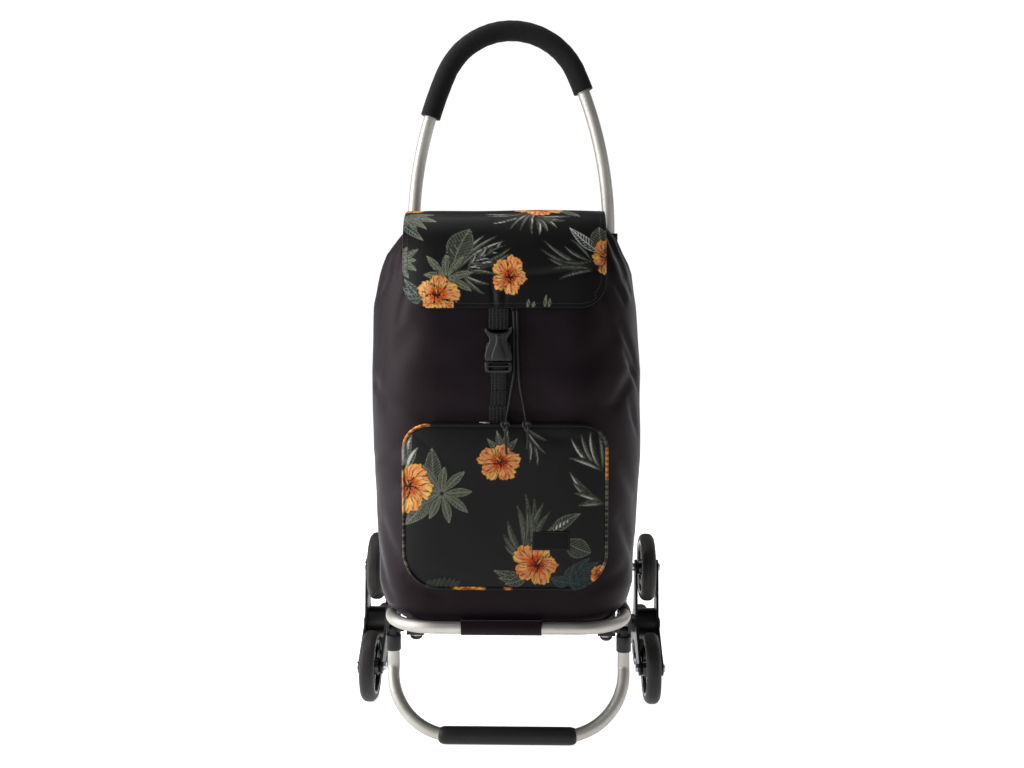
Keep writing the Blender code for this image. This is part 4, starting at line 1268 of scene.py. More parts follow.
def store_print(item, cloth):
    """Keeps the laid colours with a piece's points, where the printed finish reads them."""
    layer = item.data.color_attributes.new("print", "FLOAT_COLOR", "POINT")
    colour = np.concatenate([cloth.colour, np.ones((len(cloth.colour), 1))], 1)
    layer.data.foreach_set("color", np.clip(colour, 0, 1).ravel())


# %% Flap print: u across from the bag's middle, v down from the hinge


def print_flap(u, v):
    """The flap's motifs, in the order that they are laid."""
    cloth = Print(u, -v)
    hibiscus(cloth, (-0.128, -0.120), 0.020, 20, 0.8, 0.8)
    for end, wide in (
        ((-0.092, -0.142), 0.006), ((-0.088, -0.158), 0.006), ((-0.100, -0.170), 0.005),
        ((-0.112, -0.178), 0.005),
    ):
        leaf(cloth, (-0.133, -0.150), end, wide, OLIVE, curl=0.06)
    leaf(cloth, (-0.134, -0.160), (-0.104, -0.186), 0.005, TEAL)
    rosette(cloth, (-0.136, -0.212), 5, 0.026, 0.0036, -60, DEEP_OLIVE, 150)
    spray(
        cloth, (-0.0620, -0.2290),
        (
            (-0.0250, -0.1790), (-0.0093, -0.1802), (0.0011, -0.1871), (0.0088, -0.1967),
            (0.0076, -0.2049), (-0.0080, -0.2100),
        ),
        0.0027, OLIVE, 0.95,
    )
    spray(
        cloth, (-0.0540, -0.2310),
        ((-0.0080, -0.2150), (-0.0114, -0.2313), (-0.0189, -0.2441), (-0.0240, -0.2570)), 0.0026,
        OLIVE, 1.0,
    )
    frond(cloth, (-0.048, -0.226), (-0.004, -0.196), 6, 0.022, 0.0013, 0.10, 0.9, DEEP_OLIVE)
    leaf(
        cloth, (-0.066, -0.226), (-0.044, -0.170), 0.0165, DEEP_OLIVE, PALE_VEIN, 0.05, 0.0048,
        widest=1.15,
    )
    rosette(cloth, (-0.073, -0.236), 9, 0.034, 0.0044, 12, OLIVE)
    cloth.lay(inside(0.0024 - np.hypot(cloth.u + 0.073, cloth.v + 0.236), 0.002), PETAL_DARK)
    tips = ((-0.136, -0.246), (-0.128, -0.236), (-0.122, -0.262), (-0.138, -0.258))
    bunch(cloth, (-0.104, -0.262), tips, 0.0060, TEAL, curl=0.05)
    hibiscus(cloth, (-0.085, -0.2575), 0.0255, 65, 0.75)
    hibiscus(cloth, (0.008, -0.2345), 0.0240, 12, 0.45)
    spray(
        cloth, (0.0400, -0.1350),
        (
            (-0.0280, -0.1380), (-0.0270, -0.1448), (-0.0174, -0.1617), (-0.0033, -0.1580),
            (0.0073, -0.1709), (0.0202, -0.1730), (0.0357, -0.1790),
        ),
        0.0026, DEEP_OLIVE, 1.0,
    )
    spray(
        cloth, (0.0400, -0.1480),
        (
            (0.0450, -0.1790), (0.0560, -0.1760), (0.0680, -0.1690), (0.0800, -0.1560),
            (0.0860, -0.1450),
        ),
        0.0030, OLIVE, 0.95,
    )
    hibiscus(cloth, (0.040, -0.118), 0.0340, 40, 0.35, 0.80)
    leaf(cloth, (0.074, -0.128), (0.098, -0.146), 0.0055, OLIVE)
    spray(
        cloth, (0.1160, -0.2260),
        (
            (0.0500, -0.1860), (0.0459, -0.1981), (0.0549, -0.2104), (0.0612, -0.2249),
            (0.0700, -0.2380),
        ),
        0.0029, DEEP_OLIVE, 0.25,
    )
    spray(
        cloth, (0.1120, -0.2140), ((0.0766, -0.1941), (0.0714, -0.2145), (0.0843, -0.1845)),
        0.0026, DEEP_OLIVE, 0.35,
    )
    leaf(cloth, (0.122, -0.200), (0.084, -0.168), 0.0068, DEEP_OLIVE, SILVER, 0.05)
    leaf(
        cloth, (0.124, -0.200), (0.122, -0.166), 0.0120, DEEP_OLIVE, PALE_VEIN, 0.0, 0.0042,
        widest=1.1,
    )
    hibiscus(cloth, (0.132, -0.206), 0.0230, 130, 0.5)
    for x, tall in ((0.030, 0.010), (0.037, 0.007), (0.052, 0.016), (0.057, 0.011)):
        leaf(
            cloth, (x, -0.2735), (x + 0.002, -0.2735 + tall), 0.0020, DEEP_OLIVE, PALE_VEIN,
            ribs=0.006,
        )
    return cloth


# %% Pocket print: u across from the pocket's middle, v its height


def print_pocket(u, v, piping=False):
    """The pocket's motifs. The piping, cut from another place of the cloth, has flecks as well."""
    cloth = Print(u, v)
    tips = ((-0.118, 0.418), (-0.126, 0.412), (-0.110, 0.402))
    bunch(cloth, (-0.124, 0.374), tips, 0.0048, DEEP_OLIVE, curl=0.06, shine=0.7)
    leaf(cloth, (-0.090, 0.356), (-0.092, 0.402), 0.0105, DEEP_OLIVE, PALE_VEIN, 0.0, 0.0040)
    leaf(cloth, (-0.092, 0.350), (-0.128, 0.302), 0.0120, OLIVE, PALE_VEIN, 0.05, 0.0036)
    rosette(cloth, (-0.0795, 0.3440), 9, 0.0385, 0.0054, 4, OLIVE)
    cloth.lay(inside(0.0026 - np.hypot(cloth.u + 0.0795, cloth.v - 0.3440), 0.002), PETAL_DARK)
    hibiscus(cloth, (-0.1225, 0.3530), 0.0320, 80, 0.9)
    tips = ((-0.022, 0.414), (-0.010, 0.424), (0.004, 0.424), (0.016, 0.414))
    bunch(cloth, (-0.003, 0.392), tips, 0.0044, DEEP_OLIVE, ribs=0.0035)
    hibiscus(cloth, (-0.0050, 0.3850), 0.0255, 100, 0.4)
    spray(
        cloth, (0.0250, 0.4290),
        ((0.0318, 0.3835), (0.0420, 0.3790), (0.0520, 0.3950), (0.0550, 0.4110)), 0.0026,
        DEEP_OLIVE, 1.0,
    )
    spray(
        cloth, (0.1230, 0.3720),
        ((0.0830, 0.4150), (0.0960, 0.4200), (0.1080, 0.4230), (0.1180, 0.4240), (0.0805, 0.3898)),
        0.0040, DEEP_OLIVE, 1.0,
    )
    spray(
        cloth, (0.1260, 0.3300),
        ((0.0820, 0.3720), (0.0855, 0.3600), (0.0880, 0.3450), (0.0930, 0.3292)), 0.0042, OLIVE,
        1.0,
    )
    spray(
        cloth, (0.0240, 0.2640),
        (
            (0.0000, 0.2780), (-0.0020, 0.2930), (0.0040, 0.3110), (0.0150, 0.3310),
            (0.0260, 0.3456), (0.0370, 0.3400),
        ),
        0.0040, OLIVE, 0.15,
    )
    spray(
        cloth, (0.0330, 0.2740),
        ((0.0493, 0.3330), (0.0580, 0.3220), (0.0680, 0.3140), (0.0300, 0.3250)), 0.0036, OLIVE,
        0.15,
    )
    leaf(cloth, (0.0600, 0.2950), (0.0960, 0.3190), 0.0072, DEEP_OLIVE, PALE_VEIN, 0.06, 0.0046)
    for k in range(4):
        at = (0.0650 + 0.0046 * k, 0.2985 + 0.0028 * k)
        leaf(cloth, at, (at[0] + 0.0012, at[1] + 0.0075 - 0.0008 * k), 0.0010, SILVER, ribs=0)
    leaf(
        cloth, (0.0740, 0.2860), (0.1090, 0.2680), 0.0125, DEEP_OLIVE, PALE_VEIN, -0.05, 0.0040,
        widest=1.15,
    )
    tips = (
        (0.120, 0.256), (0.108, 0.262), (0.124, 0.236), (0.088, 0.254), (0.104, 0.224),
        (0.058, 0.236),
    )
    bunch(cloth, (0.082, 0.230), tips, 0.0078, TEAL, vein=OLIVE, curl=0.05, ribs=0.0044)
    tips = ((-0.014, 0.246), (-0.008, 0.236), (0.000, 0.228))
    bunch(cloth, (0.026, 0.236), tips, 0.0064, DEEP_OLIVE, curl=0.05)
    hibiscus(cloth, (0.0410, 0.2540), 0.0300, 18, 0.35, 0.90)
    for k in range(7):
        tip = (-0.094 + 0.0062 * k, 0.237 - 0.0012 * abs(k - 3))
        leaf(cloth, (-0.100 + 0.006 * k, 0.2235), tip, 0.0030, DEEP_OLIVE, ribs=0)
    hibiscus(cloth, (0.1190, 0.2400), 0.0120, 60, 0.3)
    if piping:
        flecks = (0.5 + 0.5 * np.sin(1300 * v + 3 * np.sin(410 * v))) ** 2
        cloth.lay(inside(np.abs(u) - 0.122, 0.006) * flecks * 0.5, PALE_VEIN)
    accents = (
        ((-0.115, 0.421), 0.021), ((0.1285, 0.381), 0.020), ((-0.045, 0.2215), 0.019),
        ((0.004, 0.2215), 0.005),
    )
    for spot, long in accents if piping else ():
        here = inside(long - np.hypot(u - spot[0], v - spot[1]), 0.003)
        flecks = 0.5 + 0.5 * np.sin(900 * (u + v) + 2 * np.sin(700 * u))
        cloth.lay(here * (0.20 + 0.65 * flecks), ORANGE)
        cloth.lay(here * flecks**3 * 0.7, AMBER)
    return cloth


# %% [markdown]
# ## The flap
#
# The flap is one sheet of printed cloth over a stiffener. It is sewn along the bag's back edge,
# lies over the mouth, turns down over the front and ends in a hem with rounded corners. A bent
# board would be simpler, but a sheet on a grid that follows that line keeps the flat cloth's
# places, so the print and the stitches can be laid on it.

# %% Shape of a rounded panel


def panel(x, y, half, low, high, corner_low, corner_high):
    """Carries a square from -1 to 1 onto a rectangle with rounded corners, edge to edge."""
    size = np.maximum(np.maximum(np.abs(x), np.abs(y)), 1e-9)
    middle, tall = (low + high) / 2, (high - low) / 2
    far_x, far_y = x / size * half, y / size * tall
    corner = np.where(far_y > 0, corner_high, corner_low)

    def outside(scale):
        px, py = np.abs(far_x) * scale, np.abs(far_y) * scale
        qx, qy = px - (half - corner), py - (tall - corner)
        round_part = np.hypot(np.maximum(qx, 0), np.maximum(qy, 0))
        return round_part + np.minimum(np.maximum(qx, qy), 0) - corner

    near, far = np.zeros(len(x)), np.ones(len(x))
    for _ in range(30):
        mid = (near + far) / 2
        out = outside(mid) > 0
        near, far = np.where(out, near, mid), np.where(out, mid, far)
    return far_x * near * size, middle + far_y * near * size


# %% Smooth routes and stitches


def smooth_route(points, steps):
    """A smooth curve through a few points, as many evenly stepped ones."""
    route = [np.array(p, float) for p in points]
    ends = [2 * route[0] - route[1]] + route + [2 * route[-1] - route[-2]]
    curve = []
    for a, b, c, d in zip(ends, ends[1:], ends[2:], ends[3:]):
        for t in np.arange(steps) / steps:
            bend = 2 * b + (c - a) * t + (2 * a - 5 * b + 4 * c - d) * t**2
            curve.append(0.5 * (bend + (3 * b - a - 3 * c + d) * t**3))
    return curve + [route[-1]]


def resample(points, spacing):
    """Points at even spacing along a path, with the path's direction at each."""
    points = np.array(points, float)
    lengths = np.r_[0, np.cumsum(np.linalg.norm(np.diff(points, axis=0), axis=1))]
    at = np.arange(spacing / 2, lengths[-1], spacing)
    spots = np.stack([np.interp(at, lengths, points[:, k]) for k in range(3)], 1)
    ahead = np.stack([np.interp(at + 0.0005, lengths, points[:, k]) for k in range(3)], 1)
    behind = np.stack([np.interp(at - 0.0005, lengths, points[:, k]) for k in range(3)], 1)
    ways = ahead - behind
    return spots, ways / np.maximum(np.linalg.norm(ways, axis=1, keepdims=True), 1e-9)


def stitches(path, length, gap, radius):
    """A row of stitches: one small spindle, modelled once and copied along the path."""
    bpy.ops.mesh.primitive_uv_sphere_add(segments=6, ring_count=4, radius=1)
    seed = bpy.context.object
    seed_points = points_of(seed)
    faces = [list(p.vertices) for p in seed.data.polygons]
    bpy.data.objects.remove(seed)
    spots, ways = resample(path, length + gap)
    every_point, every_face = [], []
    for spot, way in zip(spots, ways):
        turn = np.array(Vector(way).to_track_quat("Z", "Y").to_matrix())
        shaped = seed_points * (radius, radius, length / 2)
        every_face += [[v + len(every_point) * len(seed_points) for v in f] for f in faces]
        every_point.append(shaped @ turn.T + spot)
    mesh = bpy.data.meshes.new("stitches")
    mesh.from_pydata(np.concatenate(every_point).tolist(), [], every_face)
    item = bpy.data.objects.new("stitches", mesh)
    bpy.context.collection.objects.link(item)
    return item


# %% The flap's line, from its hinge over the mouth to its hem
FLAP_LINE = smooth_route(
    [(0, -0.0270, 0.7030), (0, -0.0800, 0.7085), (0, -0.1400, 0.7065), (0, -0.1700, 0.6965),
     (0, -0.1900, 0.6740), (0, -0.2030, 0.6350), (0, -0.2113, 0.5790)], 14
)
FLAP_LINE = np.array(FLAP_LINE)
FLAP_AT = np.r_[0, np.cumsum(np.linalg.norm(np.diff(FLAP_LINE, axis=0), axis=1))]
FLAP_LONG, FLAP_HALF = FLAP_AT[-1], 0.130
FLAP_CORNER = 0.036
print(f"flap {FLAP_HALF * 2000:.0f} x {FLAP_LONG * 1000:.0f} mm")


# Where each crease starts and stops on the flat flap, how wide it is and how deep.
FLAP_CREASES = (
    (0.016, 0.236, 0.128, 0.222, 0.0060, -0.0022), (0.020, 0.224, 0.120, 0.211, 0.0090, 0.0014),
    (-0.016, 0.240, -0.012, 0.272, 0.0032, -0.0013), (0.004, 0.238, 0.000, 0.272, 0.0032, -0.0013),
    (-0.006, 0.244, -0.006, 0.274, 0.0040, 0.0012), (-0.110, 0.196, 0.020, 0.182, 0.0110, -0.0011),
    (-0.120, 0.150, 0.110, 0.152, 0.0100, 0.0009),
)


def flap_points(u, v, lift=0.0013):
    """Where the flap's cloth lies, for places across it and down it from the hinge."""
    y, z = (np.interp(v, FLAP_AT, FLAP_LINE[:, k]) for k in (1, 2))
    ahead = [np.interp(v + 0.002, FLAP_AT, FLAP_LINE[:, k]) for k in (1, 2)]
    behind = [np.interp(v - 0.002, FLAP_AT, FLAP_LINE[:, k]) for k in (1, 2)]
    wy, wz = ahead[0] - behind[0], ahead[1] - behind[1]
    size = np.hypot(wy, wz)
    ny, nz = wz / size, -wy / size
    share = np.abs(u) / FLAP_HALF
    hang = eased(v, 0.150, 0.215)
    push = lift - 0.80 * recess(BAG_X + u) * hang - 0.0012 * share**4 * (1 - hang)
    spots = np.stack([u, v, 0 * u], 1)
    push += 0.0011 * lumps(spots, 0.11, 21) * eased(v, 0.02, 0.06)
    push += 0.0009 * hang * np.sin(u * 52 + 0.8) * eased(v, 0.22, FLAP_LONG)
    for u0, v0, u1, v1, width, depth in FLAP_CREASES:
        push += crease(spots, (u0, v0, 0), (u1, v1, 0), width, depth)
    return np.stack([BAG_X + u, y + ny * push, z + nz * push], 1)


# %% Flap sheet and its lining


def flap_place(a, b):
    """Places across the flap and down it, for shares of its grid."""
    u, down = panel(2 * a - 1, 1 - 2 * b, FLAP_HALF, -FLAP_LONG, 0, FLAP_CORNER, 0.0015)
    return u, -down


def flap_shape(a, b, lift=0.0013):
    """The flap as a shape for cloth_grid, lifted off its line."""
    return flap_points(*flap_place(a, b), lift)


flap, a, b = cloth_grid(230, 250, flap_shape, (2 * FLAP_HALF, FLAP_LONG))
u, v = flap_place(a, b)
store_print(flap, print_flap(u, v))
under, _, _ = cloth_grid(
    60, 66, lambda a, b: flap_shape(a, b, -0.0008), (2 * FLAP_HALF, FLAP_LONG)
)
for item, outward in ((flap, True), (under, False)):
    begin_edit(item)
    bpy.ops.mesh.normals_make_consistent(inside=False)
    bpy.ops.object.mode_set(mode="OBJECT")
    tall = sum(p.normal.z for p in item.data.polygons)
    if (tall > 0) != outward:
        flip(item)
sew(flap, "flap_cloth", PRINTED, "flap", ["flap"])
sew(under, "flap_lining", LINING, "flap")
print("flap", len(flap.data.polygons), "faces")

# %% Bound edge and stitches of the flap
turn = np.linspace(0, 1, 160)
edge_line = [(-1, 1 - 2 * t) for t in turn] + [(2 * t - 1, -1) for t in turn[1:]]
edge_line += [(1, 2 * t - 1) for t in turn[1:]]
edge_x, edge_y = np.array(edge_line).T
eu, ev = panel(edge_x, edge_y, FLAP_HALF, -FLAP_LONG, 0, FLAP_CORNER, 0.0015)
binding = tube_along(flap_points(eu, -ev, 0.0002), 0.0013, 10)
points = points_of(binding)
down = np.interp(-points[:, 2], -FLAP_LINE[20:, 2], FLAP_AT[20:])
store_print(binding, print_flap((points[:, 0] - BAG_X), down))
sew(binding, "flap_edge", PRINTED, "flap")
su, sv = panel(
    edge_x * 0.965, edge_y, FLAP_HALF - 0.001, -FLAP_LONG + 0.0048, 0, FLAP_CORNER - 0.004, 0.001
)
seam = stitches(flap_points(su, -sv, 0.0015), 0.0026, 0.0012, 0.00034)
sew(seam, "flap_stitches", THREAD_FINISH, "flap")
print(len(seam.data.polygons) // 24, "stitches in the flap's hem")

# %% Strip that joins the flap to the bag's back edge
HINGE_SHORT = 0.001


def hinge_shape(a, b):
    y = np.interp(b, (0, 0.45, 0.8, 1), (-0.0126, -0.0132, -0.0170, -0.0246))
    z = np.interp(b, (0, 0.45, 0.8, 1), (0.6720, 0.6930, 0.7005, 0.7020))
    return np.stack([BAG_X + (2 * a - 1) * (FLAP_HALF - HINGE_SHORT), y, z], 1)


hinge_strip, _, _ = cloth_grid(60, 24, hinge_shape, (2 * FLAP_HALF, 0.04))
modify(hinge_strip, "SOLIDIFY", thickness=0.0012, offset=0)
sew(hinge_strip, "flap_hinge_strip", SATIN)
print("hinge strip", round(2 * (FLAP_HALF - HINGE_SHORT) * 1000), "mm wide")

# %% [markdown]
# ## The front pocket
#
# A gusseted pouch: a printed front panel, slightly padded, a corded seam cut from the same print
# all round it, a gusset that stands it off the bag, a zip along its top and a blank black label.
# It could be one inflated cushion, but separate cloths meet in a real seam, as sewn ones do.

# %% Pocket panel
POCKET_HALF, POCKET_LOW, POCKET_HIGH = 0.1292, 0.2218, 0.4302
POCKET_X = BAG_X + 0.0018
CORNER_LOW, CORNER_HIGH = 0.046, 0.032
POCKET_EDGE_Y, POCKET_BACK_Y = -0.2330, -0.2140


POCKET_CREASES = (
    (-0.110, 0.245, -0.040, 0.232, 0.0070, -0.0010), (0.030, 0.420, 0.100, 0.412, 0.0080, -0.0010),
    (-0.125, 0.400, -0.100, 0.330, 0.0090, -0.0010),
)


def pocket_edge(x):
    """How far forward the pocket's seam stands: it follows the sack's curve, but less."""
    return POCKET_EDGE_Y + 0.6 * recess(x)


def pocket_place(a, b):
    """Places across the pocket and up it, for shares of its grid."""
    return panel(
        2 * a - 1, 2 * b - 1, POCKET_HALF, POCKET_LOW, POCKET_HIGH, CORNER_LOW, CORNER_HIGH
    )


def pocket_shape(a, b):
    """The panel as a shape for cloth_grid: padded in the middle and flat at its seam."""
    x, y = 2 * a - 1, 2 * b - 1
    u, z = pocket_place(a, b)
    rim = (1 - np.abs(x) ** 4) * (1 - np.abs(y) ** 4)
    spots = np.stack([u, z, 0 * u], 1)
    out = 0.0046 * rim**0.6 + 0.0010 * lumps(spots, 0.09, 31) * rim
    for u0, z0, u1, z1, width, depth in POCKET_CREASES:
        out += crease(spots, (u0, z0, 0), (u1, z1, 0), width, depth)
    return np.stack([POCKET_X + u, pocket_edge(POCKET_X + u) - out, z], 1)


pocket, a, b = cloth_grid(260, 215, pocket_shape, (2 * POCKET_HALF, POCKET_HIGH - POCKET_LOW))
u, v = pocket_place(a, b)
store_print(pocket, print_pocket(u, v))
sew(pocket, "pocket_cloth", PRINTED, replaced=["front_pocket"])

# %% Piping and gusset of the pocket
turn = np.linspace(0, 1, 100, endpoint=False)
edge_line = [(2 * t - 1, -1) for t in turn] + [(1, 2 * t - 1) for t in turn]
edge_line += [(1 - 2 * t, 1) for t in turn] + [(-1, 1 - 2 * t) for t in turn]
edge_x, edge_y = np.array(edge_line).T
eu, ez = panel(edge_x, edge_y, POCKET_HALF, POCKET_LOW, POCKET_HIGH, CORNER_LOW, CORNER_HIGH)
rope_line = np.stack([POCKET_X + eu, pocket_edge(POCKET_X + eu) - 0.0006, ez], 1)
rope = tube_along(rope_line, 0.0021, 14, closed=True)
points = points_of(rope)
store_print(rope, print_pocket(points[:, 0] - POCKET_X, points[:, 2], piping=True))
sew(rope, "pocket_piping", PRINTED)
POCKET_LOOP = np.stack([POCKET_X + eu, 0 * eu, ez], 1)


def gusset_shape(a, b):
    """The gusset, from the panel's seam back to the sack."""
    i = np.rint(a * len(POCKET_LOOP)).astype(int) % len(POCKET_LOOP)
    ring = POCKET_LOOP[i]
    centre = np.array([POCKET_X, 0, (POCKET_LOW + POCKET_HIGH) / 2])
    inward = 1 - 0.012 * np.sin(math.pi * b)
    points = centre + (ring - centre) * inward[:, None]
    front, back = pocket_edge(ring[:, 0]), POCKET_BACK_Y + recess(ring[:, 0])
    points[:, 1] = front + (back - front) * b
    return points


gusset, _, _ = cloth_grid(len(POCKET_LOOP), 10, gusset_shape, (0.82, 0.018))
close_seam(gusset, 1e-6)
sew(gusset, "pocket_gusset", SATIN)
print("pocket", round(2000 * POCKET_HALF), "x", round(1000 * (POCKET_HIGH - POCKET_LOW)), "mm")

# %% Zip along the top of the pocket
ZIP_Y = -0.2245
zip_z = POCKET_HIGH - 0.0006
tape_outline = rectangle(POCKET_X - 0.088, POCKET_X + 0.088, -0.2288, -0.2202)
tape = plate(tape_outline, zip_z - 0.0010, zip_z + 0.0006, "Z")
sew(tape, "pocket_zip_tape", LINING, smooth=30)
teeth_line = [(POCKET_X + x, ZIP_Y, zip_z + 0.0012) for x in (-0.086, 0.086)]
teeth = stitches(teeth_line, 0.0011, 0.0007, 0.0018)
sew(teeth, "pocket_zip_teeth", NYLON)
slider_outline = [(-0.0038, -0.0040), (0.0038, -0.0030), (0.0038, 0.0030), (-0.0038, 0.0040)]
slider = plate(slider_outline, zip_z + 0.0016, zip_z + 0.0042, "Z")
slider.data.transform(Matrix.Translation((-0.0250, ZIP_Y, 0)))
pull_outline = [(-0.0110, -0.0022), (0.0, -0.0028), (0.0, 0.0028), (-0.0110, 0.0022)]
pull = plate(pull_outline, zip_z + 0.0036, zip_z + 0.0050, "Z")
pull.data.transform(Matrix.Translation((-0.0235, -0.2290, 0)))
join(slider, pull)
bevel(slider, 0.0005, 2, 40)
sew(slider, "pocket_zip_slider", ZINC, smooth=35)
print("zip with", len(teeth.data.polygons) // 24, "teeth")

# %% Blank label, sewn on along its four sides
LABEL_BOX = (0.0345, 0.0825, 0.2725, 0.2972)
x0, x1, z0, z1 = LABEL_BOX


def label_shape(a, b):
    """A patch that is a little puffed between its sewn edges, and curls back at its sides."""
    across, up = np.abs(2 * a - 1), np.abs(2 * b - 1)
    y = -0.2380 - 0.0008 * (1 - across**12) * (1 - up**12) + 0.0004 * across
    return np.stack([POCKET_X + x0 + (x1 - x0) * a, y, z0 + (z1 - z0) * b], 1)


label, _, _ = cloth_grid(48, 26, label_shape, (x1 - x0, z1 - z0))
modify(label, "SOLIDIFY", thickness=0.0010, offset=-1)
sew(label, "pocket_label", LABEL, smooth=50)
inset = 0.0016
corners = rectangle(x0 + inset, x1 - inset, z0 + inset, z1 - inset)
loop = [(POCKET_X + x, -0.2391, z) for x, z in corners + corners[:1]]
sewn = stitches(loop, 0.0020, 0.0010, 0.00026)
sew(sewn, "label_stitches", THREAD_FINISH)
print("label", round(1000 * (x1 - x0)), "x", round(1000 * (z1 - z0)), "mm")

# %% [markdown]
# ## Straps and buckle
#
# A side-release buckle holds the flap: the socket hangs on a short strap under the hem, the
# pronged half sits on a longer strap that is doubled and sewn above the pocket. The webbing is a
# strip of cloth along a smooth line, given its thickness by a modifier, because a simulation
# would curl a strip as narrow as this. The buckle is cut from outlines, as its mould is.

# %% Webbing
STRAP_X, STRAP_THICK = -0.0105, 0.0013


def ribbon(name, body, line, half, wander=0.0, replaced=()):
    """A strap of webbing along a line of (y, z) points."""
    route = np.array(smooth_route([(STRAP_X, y, z) for y, z in line], 10))
    at = np.r_[0, np.cumsum(np.linalg.norm(np.diff(route, axis=0), axis=1))]

    def shape(a, b):
        spots = np.stack([np.interp(b * at[-1], at, route[:, k]) for k in range(3)], 1)
        spots[:, 0] += (2 * a - 1) * half + wander * np.sin(2.2 * math.pi * b)
        spots[:, 1] += 0.0005 * (2 * a - 1) ** 2
        return spots

    item, _, _ = cloth_grid(16, len(route) * 2, shape, (2 * half, at[-1]))
    modify(item, "SOLIDIFY", thickness=STRAP_THICK, offset=0)
    bevel(item, 0.0003)
    return sew(item, name, WEBBING, body, replaced, 50)


# Each strap: its name, its body, half its width, how far it wanders, the CAD strap that it stands
# for, and its line from top to bottom.
STRAPS = (
    ("upper_strap_webbing", "flap", 0.0125, 0.0, ["upper_strap"], (
        (-0.2098, 0.5860), (-0.2132, 0.5700), (-0.2150, 0.5560), (-0.2170, 0.5490),
    )),
    ("upper_strap_turn", "flap", 0.0123, 0.0, [], (
        (-0.2125, 0.5740), (-0.2146, 0.5620), (-0.2182, 0.5510), (-0.2205, 0.5480),
        (-0.2190, 0.5455),
    )),
    ("lower_strap_webbing", "frame", 0.0098, 0.0004, ["lower_strap"], (
        (-0.2216, 0.5060), (-0.2192, 0.4960), (-0.2186, 0.4700), (-0.2184, 0.4320),
        (-0.2180, 0.4280),
    )),
    ("lower_strap_doubled", "frame", 0.0118, 0.0, [], (
        (-0.2198, 0.4540), (-0.2202, 0.4500), (-0.2204, 0.4400), (-0.2200, 0.4310),
        (-0.2190, 0.4290),
    )),
    ("lower_strap_return", "frame", 0.0096, 0.0, [], (
        (-0.2228, 0.5080), (-0.2220, 0.5020), (-0.2206, 0.4900), (-0.2200, 0.4800),
        (-0.2197, 0.4740),
    )),
)
for name, body, half, wander, replaced, line in STRAPS:
    ribbon(name, body, line, half, wander, replaced)
corners = rectangle(STRAP_X - 0.0095, STRAP_X + 0.0095, 0.4350, 0.4505)
box_line = [(x, -0.2212, z) for x, z in corners + corners[:1]]
tack = stitches(box_line, 0.0022, 0.0010, 0.0003)
sew(tack, "strap_stitches", THREAD_FINISH)
print(len(STRAPS), "lengths of webbing")

# %% Buckle socket


def both_sides(half):
    """An outline that is the same on both sides of the strap, from its right half."""
    return [(STRAP_X + a, b) for a, b in half] + [(STRAP_X - a, b) for a, b in half[::-1]]


def cut(item, tool):
    """Takes the shape of a tool out of a piece."""
    modify(item, "BOOLEAN", object=tool, operation="DIFFERENCE", solver="EXACT")
    bpy.data.objects.remove(tool)


right_side = [
    (0.0148, 0.5108), (0.0166, 0.5118), (0.0174, 0.5150), (0.0172, 0.5195), (0.0160, 0.5245),
    (0.0140, 0.5290), (0.0122, 0.5335), (0.0114, 0.5375), (0.0122, 0.5415), (0.0146, 0.5445),
    (0.0168, 0.5475), (0.0176, 0.5510), (0.0166, 0.5530), (0.0146, 0.5530), (0.0126, 0.5512),
    (0.0096, 0.5486), (0.0050, 0.5474),
]
socket = plate(both_sides(right_side), -0.2258, -0.2158)
bevel(socket, 0.0022, 5, 60)
ridge_sides = [
    (0.0090, 0.5112), (0.0086, 0.5180), (0.0064, 0.5260), (0.0036, 0.5330), (0.0030, 0.5400),
    (0.0040, 0.5450),
]
ridge = plate(both_sides(ridge_sides), -0.2284, -0.2240)
bevel(ridge, 0.0024, 5, 60)
for sign in (-1, 1):
    edges = ((0.0112, 0.5215), (0.0230, 0.5215), (0.0230, 0.5350), (0.0088, 0.5350))
    window = plate([(STRAP_X + sign * a, b) for a, b in edges], -0.2238, -0.2150)
    cut(socket, window)
slot_hole = plate(rectangle(STRAP_X - 0.0132, STRAP_X + 0.0132, 0.5050, 0.5160), -0.2238, -0.2176)
cut(socket, slot_hole)
collar_start = (STRAP_X - 0.0163, -0.2238, 0.5526)
collar_bend = ("spin", (STRAP_X, -0.2238, 0.5707), (0, -1, 0), 84, 24)
collar = bent_tube(collar_start, 0.0022, [collar_bend], 20)
join(socket, ridge, collar)
sew(socket, "buckle_socket_moulding", NYLON, "flap", ["buckle_socket"], 35)
print("socket", len(socket.data.polygons), "faces")

# %% Buckle prongs, with the ladder bar that the strap is threaded round
frame_line = [
    (0.0112, 0.4958), (0.0146, 0.4964), (0.0166, 0.4984), (0.0174, 0.5020), (0.0172, 0.5106)
]
prongs = plate(both_sides(frame_line), -0.2262, -0.2172)
bevel(prongs, 0.0018, 4)
opening = plate(rectangle(STRAP_X - 0.0126, STRAP_X + 0.0126, 0.4992, 0.5084), -0.2400, -0.2000)
cut(prongs, opening)
ladder = bent_tube((STRAP_X - 0.0150, -0.2232, 0.5046), 0.0019, [("go", (0.0300, 0, 0))], 16)
arms = []
reach = [
    (0.0080, 0.5105), (0.0124, 0.5105), (0.0138, 0.5190), (0.0158, 0.5240), (0.0160, 0.5290),
    (0.0142, 0.5335), (0.0112, 0.5360), (0.0090, 0.5350), (0.0084, 0.5230),
]
for sign in (-1, 1):
    prong = plate([(STRAP_X + sign * a, b) for a, b in reach], -0.2234, -0.2184)
    bevel(prong, 0.0012, 3, 40)
    arms.append(prong)
join(prongs, ladder, *arms)
sew(prongs, "buckle_prong_moulding", NYLON, "frame", ["buckle_prongs"], 35)
print("prongs", len(prongs.data.polygons), "faces")

